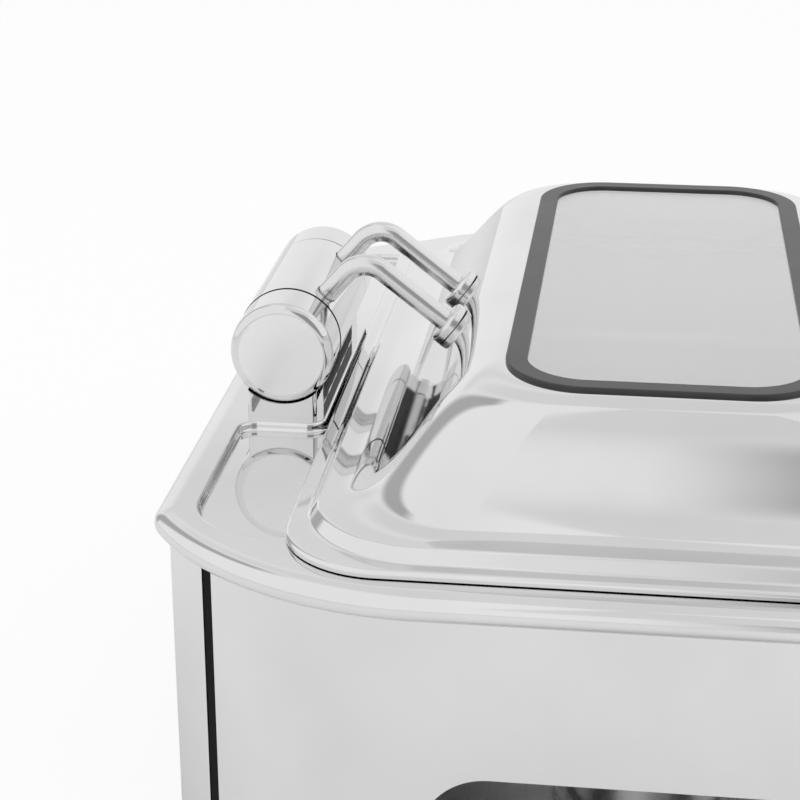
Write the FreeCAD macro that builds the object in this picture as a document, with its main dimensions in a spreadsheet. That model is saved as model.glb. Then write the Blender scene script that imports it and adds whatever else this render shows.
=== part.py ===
import FreeCAD, Part
import math
import os
import re

import Sketcher

# Full-size chafing dish with a hinged glass lid, in millimetres.
# Z is up, X runs along the dish and the hinge is at the rear, on the +Y side.
# The origin is on the table, under the middle of the rim.

V = FreeCAD.Vector
doc = FreeCAD.newDocument("chafing_dish")

SIZES = [
    ("rim_length", 600.0, "deck rim, end to end"),
    ("rim_depth", 463.4, "deck rim, front to rear"),
    ("rim_height", 15.0, "height of the bullnose rim"),
    ("rim_land", 0.3, "flat left between the two rim rounds"),
    ("rim_front_corner", 62.0, "plan radius of the front corners"),
    ("rim_rear_corner", 24.0, "plan radius where a bowed rear corner meets the rear edge"),
    ("rim_bow", 171.0, "plan radius of the bowed rear corners"),
    ("rim_bow_setback", 147.5, "rear rim edge to the middle of a bow"),
    ("deck_height", 225.0, "table to the top of the deck"),
    ("deck_sheet", 1.2, "deck sheet thickness"),
    ("rest_gap", 0.3, "clearance between pieces that are set together"),
    ("channel_end", 60.5, "rim end to the drip channel"),
    ("channel_rear", 22.5, "rear rim edge to the channel"),
    ("channel_lap", 8.0, "channel reach under the lid flange"),
    ("channel_depth", 5.0, "drip channel depth"),
    ("channel_corner", 40.0, "plan radius of the channel's rear corners"),
    ("channel_front_corner", 12.0, "plan radius of the channel's front corners"),
    ("platform_half_length", 89.5, "hinge platform, middle to end"),
    ("platform_nose", 6.2, "platform in front of the hinge bracket"),
    ("platform_corner", 12.0, "plan radius of the platform's front corners"),
    ("platform_heel_round", 10.0, "plan round where the platform meets the channel's rear"),
    ("channel_edge_bevel", 1.6, "bevel along the channel's upper edge"),
    ("ledge_end", 6.0, "lid flange to the pan ledge, at an end"),
    ("ledge_side", 13.2, "lid flange to the pan ledge, front and rear"),
    ("ledge_corner", 32.0, "plan radius of the pan ledge"),
    ("ledge_depth", 3.0, "pan ledge below the deck"),
    ("ledge_gap", 1.5, "clearance of the water pan flange in its ledge"),
    ("water_end", 12.5, "water pan flange width at an end"),
    ("water_side", 14.5, "water pan flange width, front and rear"),
    ("water_corner", 56.0, "plan radius of the water pan mouth"),
    ("water_pan_depth", 95.0, "water pan depth"),
    ("water_gap", 1.5, "clearance round the water pan in the deck"),
    ("food_lap", 3.0, "food pan flange over the water pan flange"),
    ("food_flange", 11.5, "food pan flange width"),
    ("food_flange_corner", 20.0, "plan radius of the food pan flange"),
    ("food_corner", 54.0, "plan radius of the food pan mouth"),
    ("food_pan_depth", 65.0, "food pan depth"),
    ("pan_sheet", 1.0, "pan sheet thickness"),
    ("pan_draft", 6.0, "inward lean of a pan wall from mouth to floor"),
    ("pan_floor_bevel", 10.0, "bevel between pan wall and floor"),
    ("wall_inset", 7.6, "rim edge to the wall below it"),
    ("wall_sheet", 2.0, "wall panel thickness"),
    ("slot_width", 8.5, "joint slot at each corner"),
    ("rear_slot_turn", 43.7, "angle from a side wall round to its rear slot"),
    ("skirt_height", 102.0, "deck to the top of the arches"),
    ("leg_straight", 26.0, "straight part of a leg beside its front corner"),
    ("rear_leg_end", 112.0, "rim end to the arch in the rear wall"),
    ("rear_leg_side", 150.0, "rear rim edge to the arch in a side wall"),
    ("arch_round", 34.0, "round in the upper corners of an arch"),
    ("foot_height", 6.0, "rubber foot height"),
    ("foot_proud", 1.0, "foot standing proud of wall and post"),
    ("foot_length", 46.0, "foot length along the wall"),
    ("post_sheet", 4.0, "corner post thickness behind the panels"),
    ("post_width", 36.0, "corner post width along the wall"),
    ("post_rib_recess", 0.8, "joint rib behind the wall face"),
    ("post_rib_gap", 0.2, "clearance each side of the joint rib"),
    ("shoulder_reach", 18.0, "shelf shoulder, inward from the post"),
    ("shoulder_width", 16.0, "shelf shoulder width"),
    ("shoulder_height", 10.0, "shelf shoulder height"),
    ("stud_nut_flats", 7.0, "panel nut across flats"),
    ("stud_nut_height", 3.2, "panel nut height"),
    ("stud_inset", 9.0, "panel stud from the slot's middle, along the wall"),
    ("stud_low", 60.0, "height of the lower panel studs"),
    ("stud_high", 190.0, "height of the upper panel studs"),
    ("shelf_height", 22.0, "table to the underside of the shelf"),
    ("shelf_sheet", 1.5, "shelf thickness"),
    ("shelf_lip", 10.0, "height of the shelf's upturned lip"),
    ("shelf_screw_radius", 2.5, "shelf screw radius"),
    ("shelf_screw_head", 4.6, "shelf screw head radius"),
    ("shelf_screw_inset", 9.0, "shelf screw, inward from the post"),
    ("burner_spacing", 260.0, "distance between the two burner holders"),
    ("burner_radius", 45.0, "burner holder radius"),
    ("burner_height", 60.0, "burner holder height"),
    ("burner_sheet", 1.0, "burner holder thickness"),
    ("burner_base_radius", 49.0, "burner holder base flange radius"),
    ("socket_gap", 1.0, "clearance of the base flange in its ring"),
    ("socket_ring_width", 3.0, "width of the locating ring"),
    ("socket_ring_height", 4.0, "height of the locating ring"),
    ("lug_reach", 12.0, "pivot lug, outward from the holder"),
    ("lug_width", 12.0, "pivot lug width"),
    ("lug_height", 7.0, "pivot lug height"),
    ("pivot_radius", 2.0, "cover pivot pin radius"),
    ("pivot_head_radius", 3.6, "cover pivot head radius"),
    ("pivot_head_height", 1.6, "cover pivot head height"),
    ("running_gap", 0.06, "radial clearance of a pin that turns"),
    ("cover_radius", 47.0, "snuffer cover radius"),
    ("cover_sheet", 1.5, "snuffer cover thickness"),
    ("knob_radius", 7.0, "snuffer knob radius"),
    ("knob_neck_radius", 3.5, "snuffer knob neck radius"),
    ("knob_height", 12.0, "snuffer knob height"),
    ("knob_bevel", 1.8, "bevel round the top of the snuffer knob"),
    ("axis_setback", 44.5, "rear rim edge to the hinge axis"),
    ("axis_height", 38.7, "deck to the hinge axis"),
    ("barrel_radius", 30.0, "hinge barrel radius"),
    ("barrel_length", 164.0, "hinge barrel length"),
    ("cap_length", 31.0, "fixed end cap length"),
    ("cap_edge_round", 5.4, "round on the end cap"),
    ("cap_face", 4.0, "end cap face thickness"),
    ("joint_ring_width", 1.0, "black ring between cap and sleeve"),
    ("joint_ring_inset", 0.3, "black ring below the barrel's surface"),
    ("sleeve_end_gap", 0.2, "clearance at each end of the sleeve"),
    ("sleeve_wall", 4.0, "turning sleeve thickness"),
    ("shaft_radius", 8.0, "hinge shaft radius"),
    ("bushing_length", 10.0, "sleeve bushing length"),
    ("bushing_inset", 2.0, "sleeve bushing behind the sleeve's end"),
    ("damper_radius", 19.0, "damper cartridge radius"),
    ("damper_gap", 6.8, "damper cartridge to a bushing"),
    ("bracket_width", 40.5, "hinge bracket, front to rear"),
    ("bracket_edge_round", 2.5, "round on the bracket's upright edges"),
    ("sleeve_relief", 0.6, "clearance of the sleeve in the bracket"),
    ("bracket_screw_radius", 2.5, "bracket screw radius"),
    ("bracket_screw_head", 5.0, "bracket screw head radius"),
    ("bracket_screw_height", 3.5, "bracket screw head height"),
    ("bracket_screw_depth", 8.0, "bracket screw reach into the bracket"),
    ("bracket_screw_across", 24.0, "bracket screws, front to rear"),
    ("lid_border", 12.2, "front rim edge to the lid flange"),
    ("lid_side_border", 18.0, "rim end to the lid flange"),
    ("lid_rear_border", 73.8, "rear rim edge to the lid flange"),
    ("lid_corner", 52.0, "plan radius of the lid flange"),
    ("lid_sheet", 1.2, "lid sheet, measured upright"),
    ("lid_rest", 1.0, "deck to the underside of the flange"),
    ("hem_height", 3.7, "height of the flange's hemmed edge"),
    ("hem_bevel", 1.0, "bevel on the hemmed edge"),
    ("step_foot", 9.0, "flange edge to the foot of the step"),
    ("step_head", 14.0, "flange edge to the head of the step"),
    ("step_height", 11.5, "deck to the head of the step"),
    ("step_corner", 62.0, "plan radius at the foot of the step"),
    ("step_bevel", 1.2, "bevels along the step"),
    ("dome_foot", 20.0, "flange edge to the foot of the dome"),
    ("dome_corner", 56.0, "plan radius at the foot of the dome"),
    ("crown_height", 69.4, "deck to the top of the dome"),
    ("window_end", 85.0, "flange edge to the window frame, at an end"),
    ("window_side", 104.7, "flange edge to the window frame, front and rear"),
    ("window_corner", 44.0, "plan radius of the window frame"),
    ("frame_width", 11.5, "width of the window frame"),
    ("frame_lap", 5.5, "window frame over the lid sheet"),
    ("frame_web", 1.8, "window frame between sheet and glass"),
    ("frame_lip", 1.6, "thickness of the window frame's lips"),
    ("frame_bevel", 0.8, "bevel on the window frame's upper edges"),
    ("glass_sheet", 4.0, "window glass thickness"),
    ("glass_rise", 0.6, "glass above the lid sheet"),
    ("gasket_inset", 2.6, "flange edge to the lid gasket"),
    ("gasket_width", 3.4, "lid gasket width"),
    ("gasket_gap", 0.3, "lid gasket above the deck"),
    ("arm_spacing", 68.0, "distance between the two lid arms"),
    ("arm_radius", 6.25, "lid arm rod radius"),
    ("arm_bend", 16.0, "bend radius of an arm's centre line"),
    ("arm_reach", 67.7, "lid surface to the arm's bend point"),
    ("arm_foot_share", 0.53, "arm foot up the dome, 0 at its foot and 1 at its top"),
    ("socket_fit", 0.02, "radial clearance of a rod in its socket"),
    ("collar_radius", 13.2, "collar radius"),
    ("collar_height", 5.2, "collar height"),
    ("collar_bevel", 1.6, "bevel on a collar's edges"),
    ("lid_stud_radius", 4.0, "stud radius through the lid"),
    ("lid_stud_length", 13.0, "stud length below the collar"),
    ("lid_stud_gap", 0.3, "radial clearance of a stud in the lid"),
    ("washer_radius", 9.0, "lid washer radius"),
    ("washer_sheet", 1.4, "lid washer thickness"),
    ("lid_nut_flats", 13.0, "lid nut across flats"),
    ("lid_nut_height", 6.0, "lid nut height"),
    ("handle_length", 170.0, "front handle, leg to leg"),
    ("handle_height", 46.0, "front handle above the lid surface"),
    ("handle_share", 0.5, "handle foot up the dome, 0 at its foot and 1 at its top"),
]

RISE = "(crown_height - step_height)"
FORMULAS = {
    "lid_length": "rim_length - 2 * lid_side_border",
    "lid_depth": "rim_depth - lid_border - lid_rear_border",
    "lid_y": "(lid_border - lid_rear_border) / 2",
    "window_half_length": "lid_length / 2 - window_end",
    "window_half_depth": "lid_depth / 2 - window_side",
    "channel_half_length": "rim_length / 2 - channel_end",
    "ledge_half_length": "lid_length / 2 - ledge_end",
    "ledge_half_depth": "lid_depth / 2 - ledge_side",
    "water_flange_half_length": "ledge_half_length - ledge_gap",
    "water_flange_half_depth": "ledge_half_depth - ledge_gap",
    "water_flange_corner": "ledge_corner - ledge_gap",
    "water_half_length": "water_flange_half_length - water_end",
    "water_half_depth": "water_flange_half_depth - water_side",
    "food_flange_half_length": "water_half_length + food_lap",
    "food_flange_half_depth": "water_half_depth + food_lap",
    "food_half_length": "food_flange_half_length - food_flange",
    "food_half_depth": "food_flange_half_depth - food_flange",
    "axis_y": "rim_depth / 2 - axis_setback",
    "axis_z": "deck_height + axis_height",
    "lid_rear_gap": "axis_y - lid_y - lid_depth / 2",
    "dome_run": "lid_depth / 2 - dome_foot - window_half_depth",
    "arm_rise": "10 * arm_foot_share^3 - 15 * arm_foot_share^4 + 6 * arm_foot_share^5",
    "arm_slope": "30 * arm_foot_share^2 * (1 - arm_foot_share)^2",
    "arm_foot_y": "-(lid_rear_gap + dome_foot + arm_foot_share * dome_run)",
    "arm_foot_z": "step_height + arm_rise * " + RISE + " - axis_height",
    "arm_tilt": "atan(arm_slope * " + RISE + " / dome_run)",
    "bend_y": "arm_foot_y + arm_reach * sin(arm_tilt)",
    "bend_z": "arm_foot_z + arm_reach * cos(arm_tilt)",
    "bend_distance": "sqrt(bend_y^2 + bend_z^2)",
    "arm_lean": "atan2(-bend_y; bend_z)",
    "arm_turn": "180 deg - arm_tilt - arm_lean",
    "handle_rise": "10 * handle_share^3 - 15 * handle_share^4 + 6 * handle_share^5",
    "handle_slope": "30 * handle_share^2 * (1 - handle_share)^2",
    "handle_foot_y": "handle_share * dome_run + dome_foot - lid_depth / 2",
    "handle_foot_z": "step_height + handle_rise * " + RISE,
    "handle_tilt": "atan(handle_slope * " + RISE + " / dome_run)",
    "bow_y": "rim_depth / 2 - rim_bow_setback",
    "wall_top": "deck_height - deck_sheet",
    "shelf_inset": "wall_inset + wall_sheet + post_sheet + rest_gap",
    "shelf_top": "shelf_height + shelf_sheet",
    "sleeve_half": "barrel_length / 2 - cap_length - joint_ring_width - sleeve_end_gap",
    "sleeve_bore": "barrel_radius - sleeve_wall",
    "damper_half": "sleeve_half - bushing_inset - bushing_length - damper_gap",
    "opening_half_length": "window_half_length - frame_lap",
    "opening_half_depth": "window_half_depth - frame_lap",
    "opening_corner": "window_corner - frame_lap",
    "glass_half_length": "opening_half_length - frame_web",
    "glass_half_depth": "opening_half_depth - frame_web",
    "glass_corner": "opening_corner - frame_web",
    "glass_top": "crown_height + glass_rise",
    "pivot_y": "burner_radius + lug_reach / 2",
    "pan_flange_z": "0 - ledge_depth",
    "food_flange_z": "0 - ledge_depth + pan_sheet + rest_gap",
}


def make_sheet():
    """Write every driving size to the spreadsheet under its alias."""
    sheet = doc.addObject("Spreadsheet::Sheet", "Sizes")
    for row, (alias, size, note) in enumerate(SIZES, start=1):
        sheet.set(f"A{row}", note)
        sheet.set(f"B{row}", str(size))
        sheet.setAlias(f"B{row}", alias)
    doc.recompute()
    return sheet


SHEET = make_sheet()
ALIASES = re.compile(r"\b(" + "|".join(alias for alias, _, _ in SIZES) + r")\b")
FORMULA_NAMES = re.compile(r"\b(" + "|".join(FORMULAS) + r")\b")


def ex(text):
    """Spell an expression of size names out for the document."""
    text = str(text)
    while FORMULA_NAMES.search(text):
        text = FORMULA_NAMES.sub(lambda match: "(" + FORMULAS[match.group(1)] + ")", text)
    return ALIASES.sub(r"Sizes.\1", text)


def value(text):
    """Evaluate an expression of size names to a plain number."""
    result = SHEET.evalExpression(ex(text))
    return float(getattr(result, "Value", result))


def bind(target, path, text):
    """Tie one property of an object to the size names."""
    target.setExpression(path, ex(text))


def place(target, x="0", y="0", z="0", angle=None, axis=V(0, 0, 1)):
    """Place an object by expressions, with an optional turn about one axis."""
    turn = 0 if angle is None else value(angle)
    target.Placement = FreeCAD.Placement(V(value(x), value(y), value(z)), FreeCAD.Rotation(axis, turn))
    for letter, text in zip("xyz", (x, y, z)):
        bind(target, "Placement.Base." + letter, text)
    if angle is not None:
        bind(target, "Placement.Rotation.Angle", angle)


def new_body(name, x="0", y="0", z="0", angle=None, axis=V(0, 0, 1)):
    """Start a body with its label and its place."""
    body = doc.addObject("PartDesign::Body", name)
    body.Label = name
    place(body, x, y, z, angle, axis)
    return body


def sketch_on(body, name, plane="XY_Plane", level="0"):
    """Attach a sketch to an origin plane of its body, lifted by a level."""
    sketch = body.newObject("Sketcher::SketchObject", name)
    origin = [item for item in body.Origin.OriginFeatures if item.Role == plane][0]
    sketch.AttachmentSupport = [(origin, "")]
    sketch.MapMode = "FlatFace"
    sketch.AttachmentOffset = FreeCAD.Placement(V(0, 0, value(level)), FreeCAD.Rotation())
    bind(sketch, "AttachmentOffset.Base.z", level)
    return sketch


def pin(sketch, edge, point, x, y):
    """Hold one point of an edge at a place given by two expressions."""
    for kind, text, own_axis in (("DistanceX", x, -2), ("DistanceY", y, -1)):
        if text == "0":
            sketch.addConstraint(Sketcher.Constraint("PointOnObject", edge, point, own_axis))
            continue
        index = sketch.addConstraint(Sketcher.Constraint(kind, -1, 1, edge, point, value(text)))
        bind(sketch, f"Constraints[{index}]", text)


def measure(sketch, kind, edge, text):
    """Give an edge its radius by an expression."""
    index = sketch.addConstraint(Sketcher.Constraint(kind, edge, value(text)))
    bind(sketch, f"Constraints[{index}]", text)


def circle(sketch, radius, x="0", y="0"):
    """Draw a circle by its centre and radius."""
    edge = sketch.addGeometry(Part.Circle(V(value(x), value(y), 0), V(0, 0, 1), value(radius)))
    pin(sketch, edge, 3, x, y)
    measure(sketch, "Radius", edge, radius)


def polygon(sketch, corners):
    """Draw a closed outline of straight edges through the corners."""
    spots = [V(value(x), value(y), 0) for x, y in corners]
    first = sketch.GeometryCount
    for number, spot in enumerate(spots):
        sketch.addGeometry(Part.LineSegment(spot, spots[(number + 1) % len(spots)]))
    for number, (x, y) in enumerate(corners):
        following = (number + 1) % len(corners)
        sketch.addConstraint(Sketcher.Constraint("Coincident", first + number, 2, first + following, 1))
        pin(sketch, first + number, 1, x, y)


def rounded(sketch, left, right, front, rear, front_corner, rear_corner=None):
    """Draw a rectangle with round corners, the front and rear radii apart."""
    rear_corner = rear_corner or front_corner
    x0, x1, y0, y1 = (value(text) for text in (left, right, front, rear))
    small, large = value(front_corner), value(rear_corner)
    corners = (
        (x1 - small, y0 + small, small, -90),
        (x1 - large, y1 - large, large, 0),
        (x0 + large, y1 - large, large, 90),
        (x0 + small, y0 + small, small, 180),
    )
    sides = (
        (V(x0 + small, y0, 0), V(x1 - small, y0, 0)),
        (V(x1, y0 + small, 0), V(x1, y1 - large, 0)),
        (V(x1 - large, y1, 0), V(x0 + large, y1, 0)),
        (V(x0, y1 - large, 0), V(x0, y0 + small, 0)),
    )
    first = sketch.GeometryCount
    for (start, end), (cx, cy, radius, angle) in zip(sides, corners):
        sketch.addGeometry(Part.LineSegment(start, end))
        arc = Part.Circle(V(cx, cy, 0), V(0, 0, 1), radius)
        sketch.addGeometry(Part.ArcOfCircle(arc, math.radians(angle), math.radians(angle + 90)))
    for number in range(8):
        following = first + (number + 1) % 8
        sketch.addConstraint(Sketcher.Constraint("Tangent", first + number, 2, following, 1))
    for number, kind in enumerate(("Horizontal", "Vertical", "Horizontal", "Vertical")):
        sketch.addConstraint(Sketcher.Constraint(kind, first + 2 * number))
    for number, (kind, text) in enumerate(
        (("DistanceY", front), ("DistanceX", right), ("DistanceY", rear), ("DistanceX", left))
    ):
        edge = first + 2 * number
        index = sketch.addConstraint(Sketcher.Constraint(kind, -1, 1, edge, 1, value(text)))
        bind(sketch, f"Constraints[{index}]", text)
    for number, text in ((1, front_corner), (3, rear_corner)):
        measure(sketch, "Radius", first + number, text)
    sketch.addConstraint(Sketcher.Constraint("Equal", first + 1, first + 7))
    sketch.addConstraint(Sketcher.Constraint("Equal", first + 3, first + 5))


def centred(sketch, half_length, half_depth, corner):
    """Draw a round-cornered rectangle about the sketch's origin."""
    rounded(sketch, f"-({half_length})", half_length, f"-({half_depth})", half_depth, corner)


def pad(body, sketch, length, middle=False):
    """Raise a sketch to a solid along its normal."""
    feature = body.newObject("PartDesign::Pad", "Pad_" + sketch.Name)
    feature.Profile = sketch
    feature.Midplane = middle
    bind(feature, "Length", length)
    doc.recompute()
    return feature


def pocket(body, sketch, depth, middle=False):
    """Cut a sketch into the body, against its normal."""
    before = body.Tip.Shape.Volume
    feature = body.newObject("PartDesign::Pocket", "Pocket_" + sketch.Name)
    feature.Profile = sketch
    feature.Midplane = middle
    bind(feature, "Length", depth)
    doc.recompute()
    assert feature.Shape.Volume < before, feature.Name + " cuts nothing"
    return feature


def revolve(body, sketch, angle="360", middle=False):
    """Turn a sketch about its own upright axis."""
    feature = body.newObject("PartDesign::Revolution", "Revolution_" + sketch.Name)
    feature.Profile = sketch
    feature.ReferenceAxis = (sketch, ["V_Axis"])
    feature.Midplane = middle
    bind(feature, "Angle", angle)
    doc.recompute()
    return feature


def loft(body, name, sections, ruled=False, cut=False):
    """Run a skin through sections, adding or cutting."""
    kind = "SubtractiveLoft" if cut else "AdditiveLoft"
    feature = body.newObject("PartDesign::" + kind, name)
    feature.Profile = sections[0]
    feature.Sections = sections[1:]
    feature.Ruled = ruled
    doc.recompute()
    return feature


def edges_where(shape, test):
    """Name the edges of a shape whose every end and middle pass a test."""
    names = []
    for number, edge in enumerate(shape.Edges, start=1):
        middle = edge.valueAt((edge.FirstParameter + edge.LastParameter) / 2)
        spots = [vertex.Point for vertex in edge.Vertexes] + [middle]
        if all(test(spot) for spot in spots):
            names.append(f"Edge{number}")
    return names


def soften(body, name, kind, key, size, test):
    """Dress the edges of the body's tip that pass a test."""
    base = body.Tip
    feature = body.newObject("PartDesign::" + kind, name)
    feature.Base = (base, edges_where(base.Shape, test))
    bind(feature, key, size)
    doc.recompute()
    return feature


def fillet(body, name, radius, test):
    """Round the edges of the body's tip that pass a test."""
    return soften(body, name, "Fillet", "Radius", radius, test)


def chamfer(body, name, size, test):
    """Bevel the edges of the body's tip that pass a test."""
    return soften(body, name, "Chamfer", "Size", size, test)


def near(a, b, limit=0.01):
    """Tell whether two numbers agree."""
    return abs(a - b) < limit


def slab(body, name, outline, low, high, cut=False):
    """Pad or cut an outline between two levels."""
    sketch = sketch_on(body, name, level=high if cut else low)
    outline(sketch)
    make = pocket if cut else pad
    return make(body, sketch, f"({high}) - ({low})")


def primitive(kind, name, **sizes):
    """Make a part primitive whose sizes are expressions."""
    solid = doc.addObject("Part::" + kind, name)
    for key, text in sizes.items():
        bind(solid, key, text)
    return solid


def boolean(kind, name, base, tool):
    """Combine two objects and label the result."""
    result = doc.addObject("Part::" + kind, name)
    result.Base = base
    result.Tool = tool
    result.Label = name
    return result


def joined(name, solids):
    """Gather separate solids in one object."""
    group = doc.addObject("Part::Compound", name)
    group.Links = solids
    group.Label = name
    return group


def rim_outline(inset):
    """Outline of the dish in plan, set in from the rim, with bowed rear corners."""
    half_length, half_depth, corner, rear_corner, bow = (
        f"({text} - ({inset}))"
        for text in ("rim_length / 2", "rim_depth / 2", "rim_front_corner", "rim_rear_corner", "rim_bow")
    )

    def draw(sketch):
        x, y, small, tight, wide, bow_y = (
            value(text) for text in (half_length, half_depth, corner, rear_corner, bow, "bow_y")
        )
        tight_x = x - wide + math.sqrt((wide - tight)**2 - (y - tight - bow_y)**2)
        meet = math.degrees(math.acos((tight_x - x + wide) / (wide - tight)))
        chain = [
            ((small - x, -y), (x - small, -y)),
            ((x - small, small - y), small, -90, 0),
            ((x, small - y), (x, bow_y)),
            ((x - wide, bow_y), wide, 0, meet),
            ((tight_x, y - tight), tight, meet, 90),
            ((tight_x, y), (-tight_x, y)),
            ((-tight_x, y - tight), tight, 90, 180 - meet),
            ((wide - x, bow_y), wide, 180 - meet, 180),
            ((-x, bow_y), (-x, small - y)),
            ((small - x, small - y), small, 180, 270),
        ]
        for piece in chain:
            if len(piece) == 2:
                sketch.addGeometry(Part.LineSegment(V(*piece[0], 0), V(*piece[1], 0)))
            else:
                (cx, cy), radius, start, end = piece
                arc = Part.Circle(V(cx, cy, 0), V(0, 0, 1), radius)
                sketch.addGeometry(Part.ArcOfCircle(arc, math.radians(start), math.radians(end)))
        for number in range(len(chain)):
            sketch.addConstraint(Sketcher.Constraint("Tangent", number, 2, (number + 1) % len(chain), 1))
        for number, kind in ((0, "Horizontal"), (2, "Vertical"), (5, "Horizontal"), (8, "Vertical")):
            sketch.addConstraint(Sketcher.Constraint(kind, number))
        for number, kind, point, text in (
            (0, "DistanceY", 1, f"-{half_depth}"), (2, "DistanceX", 1, half_length),
            (5, "DistanceY", 1, half_depth), (8, "DistanceX", 1, f"-{half_length}"),
            (3, "DistanceY", 3, "bow_y"), (7, "DistanceY", 3, "bow_y"),
        ):
            index = sketch.addConstraint(Sketcher.Constraint(kind, -1, 1, number, point, value(text)))
            bind(sketch, f"Constraints[{index}]", text)
        for number, twin, text in ((1, 9, corner), (3, 7, bow), (4, 6, rear_corner)):
            measure(sketch, "Radius", number, text)
            sketch.addConstraint(Sketcher.Constraint("Equal", number, twin))
    return draw


def box_outline(left, right, front, rear, front_corner, rear_corner=None):
    """Round-cornered outline by its four sides."""
    return lambda sketch: rounded(sketch, left, right, front, rear, front_corner, rear_corner)


def middle_outline(half_length, half_depth, corner, y="0"):
    """Round-cornered outline about a point on the Y axis."""
    return box_outline(
        f"-({half_length})", half_length, f"{y} - ({half_depth})", f"{y} + {half_depth}", corner
    )


def circles(radius, spots):
    """Outline of equal circles about the given spots."""
    def draw(sketch):
        for x, y in spots:
            circle(sketch, radius, x, y)
    return draw


def bracket_screw_spots(y="axis_y"):
    """Plan places of the four screws that hold the hinge bracket."""
    along = "(barrel_length / 2 - cap_length / 2)"
    across = "bracket_screw_across / 2"
    return [(f"{sx}{along}", f"{y} {sy} {across}") for sx in ("-", "1 * ") for sy in ("-", "+")]


def make_deck():
    """Deck with its bullnose rim, drip channel, hinge platform and pan ledge."""
    deck = new_body("deck_frame", z="deck_height")
    slab(deck, "rim", rim_outline("0"), "0 - rim_height", "0")
    top, bottom = 0.0, -value("rim_height")
    fillet(deck, "bullnose", "(rim_height - rim_land) / 2", lambda p: near(p.z, top) or near(p.z, bottom))
    inner = rim_outline("wall_inset - rest_gap")
    slab(deck, "underside", inner, "0 - rim_height", "0 - deck_sheet", cut=True)

    channel_rear = "rim_depth / 2 - channel_rear"
    channel_front = "lid_y + lid_depth / 2 - channel_lap"
    floor = "0 - channel_depth - deck_sheet"

    def channel(grow):
        return box_outline(
            f"-(channel_half_length + {grow})", f"channel_half_length + {grow}",
            f"{channel_front} - {grow}", f"{channel_rear} + {grow}",
            f"channel_front_corner + {grow}", f"channel_corner + {grow}",
        )

    def ledge(grow):
        return middle_outline(
            f"ledge_half_length + {grow}", f"ledge_half_depth + {grow}", f"ledge_corner + {grow}", "lid_y"
        )

    slab(deck, "channel_boss", channel("deck_sheet"), floor, "0 - deck_sheet / 2")
    slab(deck, "ledge_boss", ledge("deck_sheet"), "0 - ledge_depth - deck_sheet", "0 - deck_sheet / 2")
    slab(deck, "channel", channel("0"), "0 - channel_depth", "0", cut=True)

    nose = "axis_y - bracket_width / 2 - platform_nose"
    heel = f"{channel_rear} + platform_corner"
    platform = box_outline("-platform_half_length", "platform_half_length", nose, heel, "platform_corner")
    slab(deck, "platform", platform, "0 - channel_depth", "0")
    flank, back = value("platform_half_length"), value(channel_rear)
    fillet(
        deck, "platform_heel", "platform_heel_round", lambda p: near(abs(p.x), flank) and near(p.y, back)
    )
    hollow = box_outline(
        "-(platform_half_length - deck_sheet)", "platform_half_length - deck_sheet",
        f"{nose} + deck_sheet", f"{heel} + deck_sheet", "platform_corner - deck_sheet",
    )
    slab(deck, "platform_hollow", hollow, floor, "0 - deck_sheet", cut=True)

    rear, front = value(channel_rear) + 0.5, value(channel_front) - 0.5
    reach = value("channel_half_length") + 0.5
    chamfer(
        deck, "channel_edge", "channel_edge_bevel",
        lambda p: near(p.z, 0) and front < p.y < rear and abs(p.x) < reach,
    )
    slab(deck, "ledge", ledge("0"), "0 - ledge_depth", "0", cut=True)
    mouth = middle_outline(
        "water_half_length + water_gap", "water_half_depth + water_gap", "water_corner + water_gap", "lid_y"
    )
    slab(deck, "mouth", mouth, "0 - ledge_depth - deck_sheet", "0 - ledge_depth", cut=True)
    holes = circles("bracket_screw_radius + rest_gap", bracket_screw_spots())
    slab(deck, "bracket_holes", holes, "0 - deck_sheet", "0", cut=True)
    return deck


def make_pan(name, kind, flange_level):
    """Deep-drawn pan with a flat flange, leaning walls and a bevelled floor edge."""
    flange_top = f"{flange_level} + pan_sheet"
    floor = f"{flange_top} - {kind}_pan_depth"

    def bowl(body, title, inset, mouth, base):
        sections = []
        for place_name, lean, level in (("mouth", "0", mouth), ("floor", "pan_draft", base)):
            sketch = sketch_on(body, f"{title}_{place_name}", level=level)
            shrink = f"({inset} + {lean})"
            centred(
                sketch, f"{kind}_half_length - {shrink}", f"{kind}_half_depth - {shrink}",
                f"{kind}_corner - {shrink}",
            )
            sections.append(sketch)
        loft(body, title + "_wall", sections, ruled=True)
        bottom = value(base)
        chamfer(body, title + "_bevel", f"pan_floor_bevel - {inset} / 2", lambda p: near(p.z, bottom))

    solid = new_body(kind + "_pan_solid", y="lid_y", z="deck_height")
    flange = middle_outline(
        f"{kind}_flange_half_length", f"{kind}_flange_half_depth", f"{kind}_flange_corner"
    )
    slab(solid, "flange", flange, flange_level, flange_top)
    bowl(solid, "outer", "0", flange_level, floor)
    cavity = new_body(kind + "_pan_cavity", y="lid_y", z="deck_height")
    bowl(cavity, "inner", "pan_sheet", flange_top, f"{floor} + pan_sheet")
    return boolean("Cut", name, solid, cavity)


CORNERS = {
    "front_left": (-1, -1, "225"),
    "front_right": (1, -1, "315"),
    "rear_left": (-1, 1, "(180 - rear_slot_turn)"),
    "rear_right": (1, 1, "rear_slot_turn"),
}


def corner_centre(corner):
    """Plan centre of the arc that a corner's slot is in, and the size name of its radius."""
    sx, sy, _ = CORNERS[corner]
    radius, y = ("rim_front_corner", "rim_front_corner - rim_depth / 2") if sy < 0 else ("rim_bow", "bow_y")
    return f"{sx} * (rim_length / 2 - {radius})", y, radius


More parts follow.
